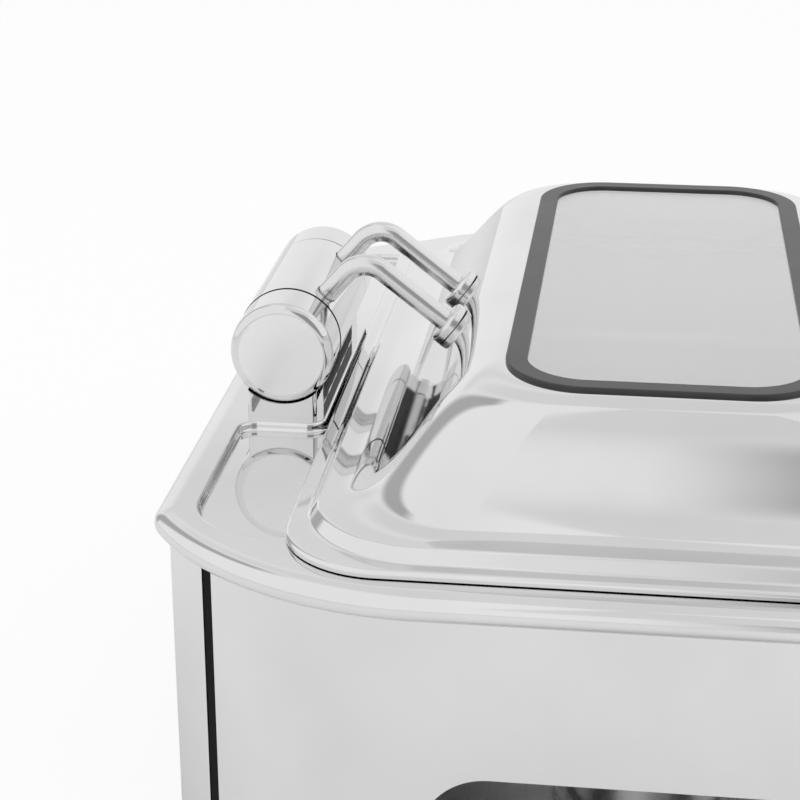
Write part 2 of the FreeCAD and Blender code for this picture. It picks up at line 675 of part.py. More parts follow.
def make_panels():
    """Four wall panels whose bent ends are half legs, parted by the corner slots."""
    ring = new_body("wall_ring")
    slab(ring, "ring_outer", rim_outline("wall_inset"), "foot_height", "wall_top")
    slab(ring, "ring_inner", rim_outline("wall_inset + wall_sheet"), "foot_height", "wall_top", cut=True)

    crown = "deck_height - skirt_height"
    below = "0 - 2 * arch_round"

    def arch(name, plane, left, right):
        body = new_body(name)
        sketch = sketch_on(body, name + "_outline", plane)
        rounded(sketch, left, right, below, crown, "arch_round")
        pad(body, sketch, "2 * rim_length", middle=True)
        return body

    front_leg = "(rim_length / 2 - rim_front_corner - leg_straight)"
    rear_leg = "(rim_length / 2 - rear_leg_end)"
    arches = {
        "front": arch("front_arch", "XZ_Plane", f"-{front_leg}", front_leg),
        "rear": arch("rear_arch", "XZ_Plane", f"-{rear_leg}", rear_leg),
        "side": arch(
            "side_arch", "YZ_Plane",
            "rim_front_corner + leg_straight - rim_depth / 2", "rim_depth / 2 - rear_leg_side",
        ),
    }
    arches["left"] = arches["right"] = arches["side"]
    ends_of = {
        "front": (("front_left", "+"), ("front_right", "-")),
        "rear": (("rear_left", "-"), ("rear_right", "+")),
        "left": (("front_left", "-"), ("rear_left", "+")),
        "right": (("front_right", "+"), ("rear_right", "-")),
    }
    panels = []
    for side, ends in ends_of.items():
        wedge = new_body(side + "_wedge")
        near_spots, far_spots = [], []
        for corner, turn in ends:
            x, y, _ = corner_centre(corner)
            heading = CORNERS[corner][2]
            near_spots.append(tuple(
                f"{start} + slot_width / 2 * {wave}({heading} {turn} 90)"
                for start, wave in ((x, "cos"), (y, "sin"))
            ))
            far_spots.append(tuple(
                f"{start} + rim_length / 2 * {wave}({heading})"
                for start, wave in zip(near_spots[-1], ("cos", "sin"))
            ))
        sketch = sketch_on(wedge, side + "_sector")
        polygon(sketch, [near_spots[0], far_spots[0], far_spots[1], near_spots[1]])
        pad(wedge, sketch, "deck_height")
        blank = boolean("Common", side + "_blank", ring, wedge)
        panels.append(boolean("Cut", side + "_panel", blank, arches[side]))
    return panels


def make_post(corner):
    """Corner post behind two panel ends, with its joint rib and shelf shoulder."""
    x, y, radius = corner_centre(corner)
    post = new_body("corner_post_" + corner, x=x, y=y, angle=CORNERS[corner][2])
    wall = f"{radius} - wall_inset"
    back = f"{wall} - wall_sheet"
    face = f"{back} - post_sheet"

    def sector(name, inside, outside, low, high, width, at):
        sketch = sketch_on(post, name, "XZ_Plane")
        polygon(sketch, [(inside, low), (outside, low), (outside, high), (inside, high)])
        revolve(post, sketch, f"({width}) / ({at}) * 180 / pi", middle=True)

    sector("back_plate", face, back, "foot_height", "wall_top", "post_width", back)
    rib_face = f"{wall} - post_rib_recess"
    sector(
        "joint_rib", f"{back} - post_sheet / 2", rib_face, "foot_height", "wall_top",
        "slot_width - 2 * post_rib_gap", wall,
    )
    sector(
        "shoulder", f"{face} - shoulder_reach", f"{face} + post_sheet / 2",
        "shelf_height - shoulder_height", "shelf_height", "shoulder_width", f"({face} - shoulder_reach / 2)",
    )
    hole = circles("shelf_screw_radius", [(f"{face} - shelf_screw_inset", "0")])
    slab(post, "screw_hole", hole, "shelf_height - shoulder_height", "shelf_height", cut=True)
    return post


def make_foot(corner):
    """Rubber foot under two panel ends and their post."""
    x, y, radius = corner_centre(corner)
    foot = new_body("foot_" + corner, x=x, y=y, angle=CORNERS[corner][2])
    outside = f"{radius} - wall_inset + foot_proud"
    inside = f"{radius} - wall_inset - wall_sheet - post_sheet - foot_proud"
    sketch = sketch_on(foot, "tread", "XZ_Plane")
    polygon(sketch, [(inside, "0"), (outside, "0"), (outside, "foot_height"), (inside, "foot_height")])
    revolve(foot, sketch, f"foot_length / ({outside}) * 180 / pi", middle=True)
    return foot


def make_panel_nuts():
    """Nuts on the panels' welded studs, behind the corner posts."""
    nuts = []
    for corner, (_, _, heading) in CORNERS.items():
        x, y, radius = corner_centre(corner)
        face = f"({radius} - wall_inset - wall_sheet - post_sheet - rest_gap)"
        for side in (-1, 1):
            swing = f"({heading} + {side} * stud_inset / {face} * 180 / pi)"
            inward = V(-math.cos(math.radians(value(swing))), -math.sin(math.radians(value(swing))), 0)
            for level in ("stud_low", "stud_high"):
                nut = primitive(
                    "Prism", f"panel_nut_{len(nuts) + 1}",
                    Circumradius="stud_nut_flats / sqrt(3)", Height="stud_nut_height",
                )
                nut.Polygon = 6
                place(nut, f"{x} + {face} * cos({swing})", f"{y} + {face} * sin({swing})", level)
                nut.Placement.Rotation = FreeCAD.Rotation(V(0, 0, 1), inward)
                nuts.append(nut)
    return joined("panel_nuts", nuts)


def shelf_screw_spot(corner):
    """Plan place of the shelf screw at a corner."""
    x, y, radius = corner_centre(corner)
    heading = CORNERS[corner][2]
    reach = f"({radius} - wall_inset - wall_sheet - post_sheet - shelf_screw_inset)"
    return f"{x} + {reach} * cos({heading})", f"{y} + {reach} * sin({heading})"


def make_shelf():
    """Lower shelf tray with a locating ring for each burner holder."""
    shelf = new_body("burner_shelf")
    spots = [(f"{side} * burner_spacing / 2", "lid_y") for side in (-1, 1)]
    top = "shelf_top"
    slab(shelf, "tray", rim_outline("shelf_inset"), "shelf_height", f"{top} + shelf_lip")
    slab(shelf, "tray_inside", rim_outline("shelf_inset + shelf_sheet"), top, f"{top} + shelf_lip", cut=True)
    ring = "burner_base_radius + socket_gap"
    rings = circles(f"{ring} + socket_ring_width", spots)
    slab(shelf, "rings", rings, f"{top} - shelf_sheet / 2", f"{top} + socket_ring_height")
    slab(shelf, "sockets", circles(ring, spots), top, f"{top} + socket_ring_height", cut=True)
    holes = circles("shelf_screw_radius + rest_gap", [shelf_screw_spot(corner) for corner in CORNERS])
    slab(shelf, "screw_holes", holes, "shelf_height", top, cut=True)
    return shelf


def make_screw(name, radius, head_radius, head_height, length, x, y, z, down=True):
    """Pan-head screw with its head's underside at the given place."""
    screw = new_body(name, x=x, y=y, z=z, angle="0" if down else "180", axis=V(1, 0, 0))
    sketch = sketch_on(screw, name + "_profile", "XZ_Plane")
    polygon(sketch, [
        ("0", f"-({length})"), (radius, f"-({length})"), (radius, "0"),
        (head_radius, "0"), (head_radius, head_height), ("0", head_height),
    ])
    revolve(screw, sketch)
    return screw


def make_shelf_screws():
    """Screws that hold the shelf down on the post shoulders."""
    screws = []
    for number, corner in enumerate(CORNERS, start=1):
        x, y = shelf_screw_spot(corner)
        screws.append(make_screw(
            f"shelf_screw_{number}", "shelf_screw_radius", "shelf_screw_head", "shelf_screw_radius",
            "shelf_sheet + shoulder_height", x, y, "shelf_top",
        ))
    return joined("shelf_screws", screws)


def make_burner(side, sign):
    """Burner holder, its pivot pin, swivelling cover and knob."""
    x, z = f"{sign} * burner_spacing / 2", "shelf_top + rest_gap"

    def start(name):
        return new_body(f"{name}_{side}", x=x, y="lid_y", z=z)

    holder = start("burner_holder")
    sketch = sketch_on(holder, "cup", "XZ_Plane")
    radius, height, sheet = "burner_radius", "burner_height", "burner_sheet"
    polygon(sketch, [
        ("0", "0"), ("burner_base_radius", "0"), ("burner_base_radius", sheet), (radius, sheet),
        (radius, height), (f"{radius} - {sheet}", height), (f"{radius} - {sheet}", sheet), ("0", sheet),
    ])
    revolve(holder, sketch)
    lug = box_outline(
        "-lug_width / 2", "lug_width / 2", f"{radius} - {sheet} / 2", f"{radius} + lug_reach", "lug_width / 4"
    )
    slab(holder, "lug", lug, f"{height} - lug_height", height)
    hole = circles("pivot_radius", [("0", "pivot_y")])
    slab(holder, "lug_hole", hole, f"{height} - lug_height", height, cut=True)

    cover = start("snuffer_cover")
    low = f"{height} + rest_gap"
    high = f"{low} + cover_sheet"
    slab(cover, "disc", circles("cover_radius", [("0", "0")]), low, high)
    tail = box_outline(
        "-lug_width / 2", "lug_width / 2", "0", "pivot_y + lug_width / 2", "lug_width / 2.1"
    )
    slab(cover, "tail", tail, low, high)
    knob_y = "knob_radius * 2 - cover_radius"
    slab(cover, "pivot_hole", circles("pivot_radius + running_gap", [("0", "pivot_y")]), low, high, cut=True)

    pin_body = new_body(f"pivot_pin_{side}", x=x, y="lid_y + pivot_y", z=z)
    sketch = sketch_on(pin_body, "pin", "XZ_Plane")
    under, over = f"{height} - lug_height", f"{high} + rest_gap"
    polygon(sketch, [
        ("0", f"{under} - pivot_head_height"), ("pivot_head_radius", f"{under} - pivot_head_height"),
        ("pivot_head_radius", under), ("pivot_radius", under), ("pivot_radius", over),
        ("pivot_head_radius", over), ("pivot_head_radius", f"{over} + pivot_head_height"),
        ("0", f"{over} + pivot_head_height"),
    ])
    revolve(pin_body, sketch)

    knob = new_body(f"snuffer_knob_{side}", x=x, y=f"lid_y + {knob_y}", z=z)
    sketch = sketch_on(knob, "knob", "XZ_Plane")
    polygon(sketch, [
        ("0", high), ("knob_neck_radius", high), ("knob_neck_radius", f"{high} + knob_height / 3"),
        ("knob_radius", f"{high} + knob_height / 2"), ("knob_radius", f"{high} + knob_height - knob_bevel"),
        ("knob_radius - knob_bevel", f"{high} + knob_height"), ("0", f"{high} + knob_height"),
    ])
    revolve(knob, sketch)
    return [holder, cover, pin_body, knob]


def turned(name, side, corners):
    """Turned piece on the hinge axis, its profile's height along the axis."""
    body = new_body(name, y="axis_y", z="axis_z", angle=str(90 * side), axis=V(0, 1, 0))
    sketch = sketch_on(body, name + "_profile", "XZ_Plane")
    polygon(sketch, corners)
    revolve(body, sketch)
    return body


def tube_profile(inside, outside, low, high):
    """Corners of a plain tube's profile."""
    return [(inside, low), (outside, low), (outside, high), (inside, high)]


def make_bracket():
    """Saddle bracket that carries the fixed caps and clears the sleeve."""
    bracket = new_body("hinge_bracket", y="axis_y", z="axis_z")
    crest = "-(sqrt(barrel_radius^2 - bracket_width^2 / 4) + rest_gap)"
    half = "bracket_width / 2"
    block = sketch_on(bracket, "block", "YZ_Plane")
    polygon(block, [
        (f"-{half}", "-axis_height"), (half, "-axis_height"), (half, crest), (f"-{half}", crest),
    ])
    pad(bracket, block, "barrel_length", middle=True)
    end, flank = value("barrel_length / 2"), value(half)
    fillet(
        bracket, "upright_round", "bracket_edge_round",
        lambda p: near(abs(p.x), end) and near(abs(p.y), flank),
    )
    seat = sketch_on(bracket, "cap_seat", "YZ_Plane")
    circle(seat, "barrel_radius")
    pocket(bracket, seat, "barrel_length", middle=True)
    relief = sketch_on(bracket, "sleeve_relief", "YZ_Plane")
    circle(relief, "barrel_radius + sleeve_relief")
    pocket(bracket, relief, "barrel_length - 2 * cap_length", middle=True)
    holes = circles("bracket_screw_radius", bracket_screw_spots("0"))
    slab(bracket, "screw_holes", holes, "-axis_height", "bracket_screw_depth - axis_height", cut=True)
    return bracket


def make_bracket_screws():
    """Screws that hold the bracket from under the hinge platform."""
    screws = []
    for number, (x, y) in enumerate(bracket_screw_spots(), start=1):
        screws.append(make_screw(
            f"bracket_screw_{number}", "bracket_screw_radius", "bracket_screw_head", "bracket_screw_height",
            "deck_sheet + bracket_screw_depth", x, y, "wall_top", down=False,
        ))
    return joined("bracket_screws", screws)


def make_barrel():
    """Hinge barrel: caps, joint rings, shaft, bushings, damper and the turning sleeve."""
    pieces = []
    cap_root = "barrel_length / 2 - cap_length"
    cap_end = "barrel_length / 2"
    shaft_end = f"{cap_end} - cap_face"
    for side, name in ((-1, "left"), (1, "right")):
        cap = turned(f"hinge_cap_{name}", side, [
            ("shaft_radius", cap_root), ("barrel_radius", cap_root), ("barrel_radius", cap_end),
            ("0", cap_end), ("0", shaft_end), ("shaft_radius", shaft_end),
        ])
        end = value(cap_end)
        fillet(cap, "edge", "cap_edge_round", lambda p: near(p.z, end))
        ring = turned(f"joint_ring_{name}", side, tube_profile(
            "shaft_radius", "barrel_radius - joint_ring_inset",
            f"{cap_root} - joint_ring_width", cap_root,
        ))
        bushing = turned(f"sleeve_bushing_{name}", side, tube_profile(
            "shaft_radius + running_gap", "sleeve_bore",
            "sleeve_half - bushing_inset - bushing_length", "sleeve_half - bushing_inset",
        ))
        pieces += [cap, ring, bushing]
    shaft = turned("hinge_shaft", 1, [
        ("0", f"-({shaft_end})"), ("shaft_radius", f"-({shaft_end})"),
        ("shaft_radius", shaft_end), ("0", shaft_end),
    ])
    damper = turned("damper_cartridge", 1, tube_profile(
        "shaft_radius", "damper_radius", "-(damper_half)", "damper_half"
    ))
    tube = turned("sleeve_tube", 1, tube_profile(
        "sleeve_bore", "barrel_radius", "-(sleeve_half)", "sleeve_half"
    ))
    sockets = []
    for side, name in ((-1, "left"), (1, "right")):
        socket = primitive(
            "Cylinder", "arm_socket_" + name, Radius="arm_radius + socket_fit", Height="2 * barrel_radius"
        )
        place(socket, f"{side} * arm_spacing / 2", "axis_y", "axis_z", "arm_lean", V(1, 0, 0))
        sockets.append(socket)
    drill = boolean("Fuse", "arm_sockets", *sockets)
    sleeve = boolean("Cut", "hinge_sleeve", tube, drill)
    return pieces + [shaft, damper, sleeve]


def on_lid(target, end, x, lift):
    """Set an object on the lid, square to its slope, at the arm or handle foot."""
    if end == "rear":
        y, z, lean, away = "axis_y + arm_foot_y", "axis_z + arm_foot_z", "-arm_tilt", 1
        tilt = "arm_tilt"
    else:
        y, z, lean, away = "lid_y + handle_foot_y", "deck_height + handle_foot_z", "handle_tilt", -1
        tilt = "handle_tilt"
    place(
        target, x, f"{y} + {away} * ({lift}) * sin({tilt})", f"{z} + ({lift}) * cos({tilt})", lean, V(1, 0, 0)
    )


FEET = {
    "arm_left": ("rear", "-arm_spacing / 2"),
    "arm_right": ("rear", "arm_spacing / 2"),
    "handle_left": ("front", "-handle_length / 2"),
    "handle_right": ("front", "handle_length / 2"),
}


def make_stud(name, foot):
    """Stud below a rod's end, through the lid."""
    stud = primitive(
        "Cylinder", name, Radius="lid_stud_radius", Height="lid_stud_length + collar_height / 2"
    )
    on_lid(stud, *FEET[foot], "-lid_stud_length")
    return stud


def make_arm(side, sign):
    """Bent round arm from the hinge sleeve to the lid's rear shoulder."""
    rod = new_body(
        f"arm_rod_{side}", x=f"{sign} * arm_spacing / 2", y="axis_y", z="axis_z",
        angle="arm_lean", axis=V(1, 0, 0),
    )
    root = "sleeve_bore + rest_gap"
    tangent = "arm_bend * tan(arm_turn / 2)"
    drop = "(arm_reach - rest_gap)"
    end_y, end_z = f"-{drop} * sin(arm_turn)", f"bend_distance + {drop} * cos(arm_turn)"
    bend = f"bend_distance - {tangent}"
    turn, radius = math.radians(value("arm_turn")), value("arm_bend")
    path = sketch_on(rod, "centre_line", "YZ_Plane")
    centre = V(-radius, value(bend), 0)
    leave = V(radius * math.cos(turn), radius * math.sin(turn), 0) + centre
    path.addGeometry(Part.LineSegment(V(0, value(root), 0), V(0, value(bend), 0)))
    path.addGeometry(Part.ArcOfCircle(Part.Circle(centre, V(0, 0, 1), radius), 0, turn))
    path.addGeometry(Part.LineSegment(leave, V(value(end_y), value(end_z), 0)))
    path.addConstraint(Sketcher.Constraint("Vertical", 0))
    path.addConstraint(Sketcher.Constraint("Tangent", 0, 2, 1, 1))
    path.addConstraint(Sketcher.Constraint("Tangent", 1, 2, 2, 1))
    pin(path, 0, 1, "0", root)
    pin(path, 2, 2, end_y, end_z)
    measure(path, "Radius", 1, "arm_bend")
    index = path.addConstraint(Sketcher.Constraint("DistanceY", -1, 1, 1, 3, value(bend)))
    bind(path, f"Constraints[{index}]", bend)
    section = sketch_on(rod, "section", level=root)
    circle(section, "arm_radius")
    pipe = rod.newObject("PartDesign::AdditivePipe", "bent_rod")
    pipe.Profile = section
    pipe.Spine = (path, [])
    doc.recompute()
    return boolean("Fuse", f"lid_arm_{side}", rod, make_stud(f"arm_stud_{side}", "arm_" + side))


def make_handle():
    """Bent round handle across the lid's front shoulder."""
    rod = new_body("handle_rod")
    on_lid(rod, "front", "0", "0")
    half, top = "handle_length / 2", "handle_height"
    reach, rise, radius = value(half), value(top), value("arm_bend")
    path = sketch_on(rod, "centre_line", "XZ_Plane")
    path.addGeometry(Part.LineSegment(V(-reach, value("rest_gap"), 0), V(-reach, rise - radius, 0)))
    left = Part.Circle(V(radius - reach, rise - radius, 0), V(0, 0, 1), radius)
    path.addGeometry(Part.ArcOfCircle(left, math.radians(90), math.radians(180)))
    path.addGeometry(Part.LineSegment(V(radius - reach, rise, 0), V(reach - radius, rise, 0)))
    right = Part.Circle(V(reach - radius, rise - radius, 0), V(0, 0, 1), radius)
    path.addGeometry(Part.ArcOfCircle(right, 0, math.radians(90)))
    path.addGeometry(Part.LineSegment(V(reach, rise - radius, 0), V(reach, value("rest_gap"), 0)))
    for first, point, second, start in ((0, 2, 1, 2), (1, 1, 2, 1), (2, 2, 3, 2), (3, 1, 4, 1)):
        path.addConstraint(Sketcher.Constraint("Tangent", first, point, second, start))
    for edge, kind in ((0, "Vertical"), (2, "Horizontal"), (4, "Vertical")):
        path.addConstraint(Sketcher.Constraint(kind, edge))
    pin(path, 0, 1, f"-{half}", "rest_gap")
    pin(path, 4, 2, half, "rest_gap")
    index = path.addConstraint(Sketcher.Constraint("DistanceY", -1, 1, 2, 1, rise))
    bind(path, f"Constraints[{index}]", top)
    measure(path, "Radius", 1, "arm_bend")
    measure(path, "Radius", 3, "arm_bend")
    section = sketch_on(rod, "section", level="rest_gap")
    circle(section, "arm_radius", f"-{half}")
    pipe = rod.newObject("PartDesign::AdditivePipe", "bent_rod")
    pipe.Profile = section
    pipe.Spine = (path, [])
    doc.recompute()
    studs = boolean(
        "Fuse", "handle_studs", make_stud("handle_stud_left", "handle_left"),
        make_stud("handle_stud_right", "handle_right"),
    )
    return boolean("Fuse", "lid_handle", rod, studs)


def make_collar(foot):
    """Thick round collar with bevelled edges that seats a rod on the lid."""
    collar = new_body(foot + "_collar")
    on_lid(collar, *FEET[foot], "rest_gap")
    sketch = sketch_on(collar, "profile", "XZ_Plane")
    bore, low, high = "arm_radius + socket_fit", "collar_bevel", "collar_height - collar_bevel"
    shoulder = "collar_radius - collar_bevel"
    polygon(sketch, [
        (bore, "0"), (shoulder, "0"), ("collar_radius", low), ("collar_radius", high),
        (shoulder, "collar_height"), (bore, "collar_height"),
    ])
    revolve(collar, sketch)
    return collar


def make_stud_washers():
    """Washers under the lid nuts."""
    washers = []
    for foot in FEET:
        washer = new_body("stud_washer_" + foot)
        lean = "arm_tilt" if FEET[foot][0] == "rear" else "handle_tilt"
        on_lid(washer, *FEET[foot], f"-(lid_sheet * cos({lean}) + rest_gap + washer_sheet)")
        sketch = sketch_on(washer, "profile", "XZ_Plane")
        polygon(sketch, tube_profile("lid_stud_radius + socket_fit", "washer_radius", "0", "washer_sheet"))
        revolve(washer, sketch)
        washers.append(washer)
    return joined("lid_washers", washers)


def make_stud_nuts():
    """Nuts on the studs inside the lid."""
    nuts = []
    for foot in FEET:
        nut = new_body("stud_nut_" + foot)
        lean = "arm_tilt" if FEET[foot][0] == "rear" else "handle_tilt"
        lift = f"-(lid_sheet * cos({lean}) + rest_gap + washer_sheet + lid_nut_height)"
        on_lid(nut, *FEET[foot], lift)
        sketch = sketch_on(nut, "flats")
        wide, high = "lid_nut_flats / sqrt(3)", "lid_nut_flats / 2"
        polygon(sketch, [
            (wide, "0"), (f"{wide} / 2", high), (f"-{wide} / 2", high),
            (f"-{wide}", "0"), (f"-{wide} / 2", f"-{high}"), (f"{wide} / 2", f"-{high}"),
        ])
        pad(nut, sketch, "lid_nut_height")
        bore = circles("lid_stud_radius + socket_fit", [("0", "0")])
        slab(nut, "bore", bore, "0", "lid_nut_height", cut=True)
        nuts.append(nut)
    return joined("lid_nuts", nuts)


DOME_STEPS = 12


def make_lid():
    """Drawn lid with a hemmed flange, a step and an S-curved dome round the window."""
    lid = new_body("lid_blank", y="lid_y", z="deck_height")
    half_length, half_depth = "lid_length / 2", "lid_depth / 2"

    def flange_outline(inset, corner):
        return middle_outline(f"{half_length} - ({inset})", f"{half_depth} - ({inset})", corner)

    def section(name, inset, corner, level):
        sketch = sketch_on(lid, name, level=level)
        flange_outline(inset, corner)(sketch)
        return sketch

    hem_top = "lid_rest + hem_height"
    head_corner = "(step_corner + step_foot - step_head)"

    def step(title, drop, cut):
        foot = section(title + "_foot", "step_foot", "step_corner", f"{hem_top} - {drop}")
        head = section(title + "_head", "step_head", head_corner, f"step_height - {drop}")
        loft(lid, title, [foot, head], ruled=True, cut=cut)

    def dome(title, drop, cut):
        sections = []
        for number in range(DOME_STEPS + 1):
            share = number / DOME_STEPS
            rise = 10 * share**3 - 15 * share**4 + 6 * share**5
            sketch = sketch_on(lid, f"{title}_{number}", level=f"step_height - {drop} + {rise} * {RISE}")
            centred(
                sketch,
                f"{1 - share} * ({half_length} - dome_foot) + {share} * window_half_length",
                f"{1 - share} * ({half_depth} - dome_foot) + {share} * window_half_depth",
                f"{1 - share} * dome_corner + {share} * window_corner",
            )
            sections.append(sketch)
        loft(lid, title, sections, ruled=True, cut=cut)

    slab(lid, "hem", flange_outline("0", "lid_corner"), "lid_rest", hem_top)
    edge = value("lid_rest"), value(hem_top)
    chamfer(lid, "hem_edge", "hem_bevel", lambda p: near(p.z, edge[0]) or near(p.z, edge[1]))
    step("step", "0", cut=False)
    foot, head = value(hem_top), value("step_height")
    inside = value(f"{half_length} - step_foot") + 0.01
    reach = value(f"{half_depth} - step_foot") + 0.01
    chamfer(
        lid, "step_bevels", "step_bevel",
        lambda p: near(p.z, head) or (near(p.z, foot) and abs(p.x) < inside and abs(p.y) < reach),
    )
    dome("dome", "0", cut=False)
    slab(lid, "hem_inside", flange_outline("step_foot", "step_corner"), "lid_rest",
         f"{hem_top} - lid_sheet", cut=True)
    step("step_inside", "lid_sheet", cut=True)
    dome("dome_inside", "lid_sheet", cut=True)
    opening = middle_outline("opening_half_length", "opening_half_depth", "opening_corner")
    slab(lid, "window_opening", opening, "crown_height - 2 * lid_sheet", "crown_height", cut=True)

    drills = []
    for foot_name, foot_place in FEET.items():
        drill = primitive(
            "Cylinder", foot_name + "_drill", Radius="lid_stud_radius + lid_stud_gap",
            Height="2 * lid_stud_length",
        )
        on_lid(drill, *foot_place, "-lid_stud_length")
        drills.append(drill)
    holes = doc.addObject("Part::MultiFuse", "stud_holes")
    holes.Shapes = drills
    return boolean("Cut", "lid_shell", lid, holes)


def make_window_frame():
    """Dark frame that grips the lid sheet outside and the glass inside."""
    frame = new_body("window_frame", y="lid_y", z="deck_height")
    glass_bottom = "glass_top - glass_sheet"
    high = "glass_top + frame_lip"
    low = f"{glass_bottom} - frame_lip"

    def outline(inset):
        return middle_outline(
            f"window_half_length - ({inset})", f"window_half_depth - ({inset})", f"window_corner - ({inset})"
        )

    slab(frame, "band", outline("0"), low, high)
    slab(frame, "window", outline("frame_width"), low, high, cut=True)
    crest = value(high)
    chamfer(frame, "upper_bevel", "frame_bevel", lambda p: near(p.z, crest))
    glass = outline("frame_lap + frame_web")
    slab(frame, "glass_groove", glass, glass_bottom, "glass_top", cut=True)

    groove = sketch_on(frame, "sheet_groove", level="crown_height")
    outline("-frame_web")(groove)
    outline("frame_lap")(groove)
    pocket(frame, groove, "lid_sheet")
    return frame


def make_glass():
    """Toughened glass pane in the window frame."""
    glass = new_body("window_glass", y="lid_y", z="deck_height")
    pane = middle_outline("glass_half_length", "glass_half_depth", "glass_corner")
    slab(glass, "pane", pane, "glass_top - glass_sheet", "glass_top")
    return glass


def make_gasket():
    """Black gasket under the lid flange."""
    gasket = new_body("lid_gasket", y="lid_y", z="deck_height")
    sketch = sketch_on(gasket, "band", level="gasket_gap")
    for inset in ("gasket_inset", "gasket_inset + gasket_width"):
        middle_outline(
            f"lid_length / 2 - ({inset})", f"lid_depth / 2 - ({inset})", f"lid_corner - ({inset})"
        )(sketch)
    pad(gasket, sketch, "lid_rest - gasket_gap")
    return gasket


def make_parts():
    """Build every sub-part of the dish."""
    parts = [
        make_deck(),
        make_pan("water_pan", "water", "pan_flange_z"),
        make_pan("food_pan", "food", "food_flange_z"),
    ]
    parts += make_panels()
    for corner in CORNERS:
        parts += [make_post(corner), make_foot(corner)]
    parts += [make_panel_nuts(), make_shelf(), make_shelf_screws()]
    for side, sign in (("left", -1), ("right", 1)):
        parts += make_burner(side, sign)
    parts += [make_bracket(), make_bracket_screws()]
    parts += make_barrel()
    for side, sign in (("left", -1), ("right", 1)):
        parts.append(make_arm(side, sign))
    parts.append(make_handle())
    parts += [make_collar(foot) for foot in FEET]
    parts += [make_stud_washers(), make_stud_nuts()]
    parts += [make_lid(), make_window_frame(), make_glass(), make_gasket()]
    return parts


def check(parts):
    """Stop when any object failed or any sub-part is not sound."""
    for item in doc.Objects:
        if {"Invalid", "Error"} & set(item.State):
            raise RuntimeError(item.Label + " failed: " + ", ".join(item.State))
    for part in parts:
        if part.Shape.isNull() or not part.Shape.isValid() or not part.Shape.Solids:
            raise RuntimeError(part.Label + " has no sound shape")


PARTS = make_parts()
doc.recompute()
check(PARTS)
os.makedirs("parts", exist_ok=True)
for part in PARTS:
    part.Shape.exportStep("parts/" + part.Label + ".step")
    print(part.Label, len(part.Shape.Solids), round(part.Shape.Volume))
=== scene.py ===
"""Studio view of a chafing dish with a hinged glass lid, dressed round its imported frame.

Lengths in this file are millimetres until a mesh is made, and angles are degrees unless a name says
otherwise. X runs along the dish, the hinge is at the rear on the +Y side, and Z is up from the table.
"""

import logging
import math
from dataclasses import dataclass, field
from enum import Enum
from typing import Any, Iterable, Mapping, Optional, Sequence, Union

import bmesh
import bpy
from mathutils import Matrix, Vector
from mathutils.geometry import tessellate_polygon


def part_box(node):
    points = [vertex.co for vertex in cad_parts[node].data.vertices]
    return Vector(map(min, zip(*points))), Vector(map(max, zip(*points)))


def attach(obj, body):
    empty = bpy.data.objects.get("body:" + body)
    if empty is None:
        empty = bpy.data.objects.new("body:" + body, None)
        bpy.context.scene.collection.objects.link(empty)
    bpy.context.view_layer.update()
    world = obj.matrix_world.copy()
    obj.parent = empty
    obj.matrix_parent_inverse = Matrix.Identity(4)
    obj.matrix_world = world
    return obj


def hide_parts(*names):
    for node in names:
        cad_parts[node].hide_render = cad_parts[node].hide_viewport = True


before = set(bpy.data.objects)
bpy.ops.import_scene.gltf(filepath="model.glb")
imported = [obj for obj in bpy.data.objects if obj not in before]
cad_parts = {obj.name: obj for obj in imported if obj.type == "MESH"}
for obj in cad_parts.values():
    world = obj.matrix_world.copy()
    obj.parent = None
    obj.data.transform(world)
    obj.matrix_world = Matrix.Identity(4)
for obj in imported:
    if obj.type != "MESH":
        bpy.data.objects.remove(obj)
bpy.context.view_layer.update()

MM = 0.001
SAME_POINT = MM / 1000
SAME_CORNER = MM / 200
SLIVER = 1e-9
SHARP_ANGLE = 35.0
BEVEL_ANGLE = 40.0
FLANK_NORMAL = 0.97
SIDES = ("left", "right")
CORNERS = ("front_left", "front_right", "rear_left", "rear_right")
ALONG = Vector((1, 0, 0))
EVEN = (1.0, 1.0, 1.0)
WHITE = (1.0, 1.0, 1.0, 1.0)
LOG = logging.getLogger("chafing_dish")
Point = tuple[float, float]
Place = tuple[float, float, float]
Colour = tuple[float, float, float]
Ring = list[Vector]


class Slot(Enum):
    """Material slots of the record."""

    MIRROR = "mirror_steel"
    SATIN = "satin_steel"
    DARK_FRAME = "dark_frame"
    POLYMER = "black_polymer"
    RUBBER = "black_rubber"
    GLASS = "window_glass"
    BRONZE = "bronze"
    DAMPER = "damper_body"


@dataclass(frozen=True)
class Signal:
    """One output socket of a node, on which Python's operators add Math nodes."""

    graph: "Graph"
    socket: bpy.types.NodeSocket

    def __add__(self, other: "Value") -> "Signal":
        """Return the sum."""
        return self.graph.maths("ADD", self, other)

    def __sub__(self, other: "Value") -> "Signal":
        """Return the difference."""
        return self.graph.maths("SUBTRACT", self, other)

    def __rsub__(self, other: "Value") -> "Signal":
        """Return the difference, from the right."""
        return self.graph.maths("SUBTRACT", other, self)

    def __mul__(self, other: "Value") -> "Signal":
        """Return the product."""
        return self.graph.maths("MULTIPLY", self, other)

    __radd__ = __add__
    __rmul__ = __mul__


Value = Union[Signal, float, Sequence[float]]


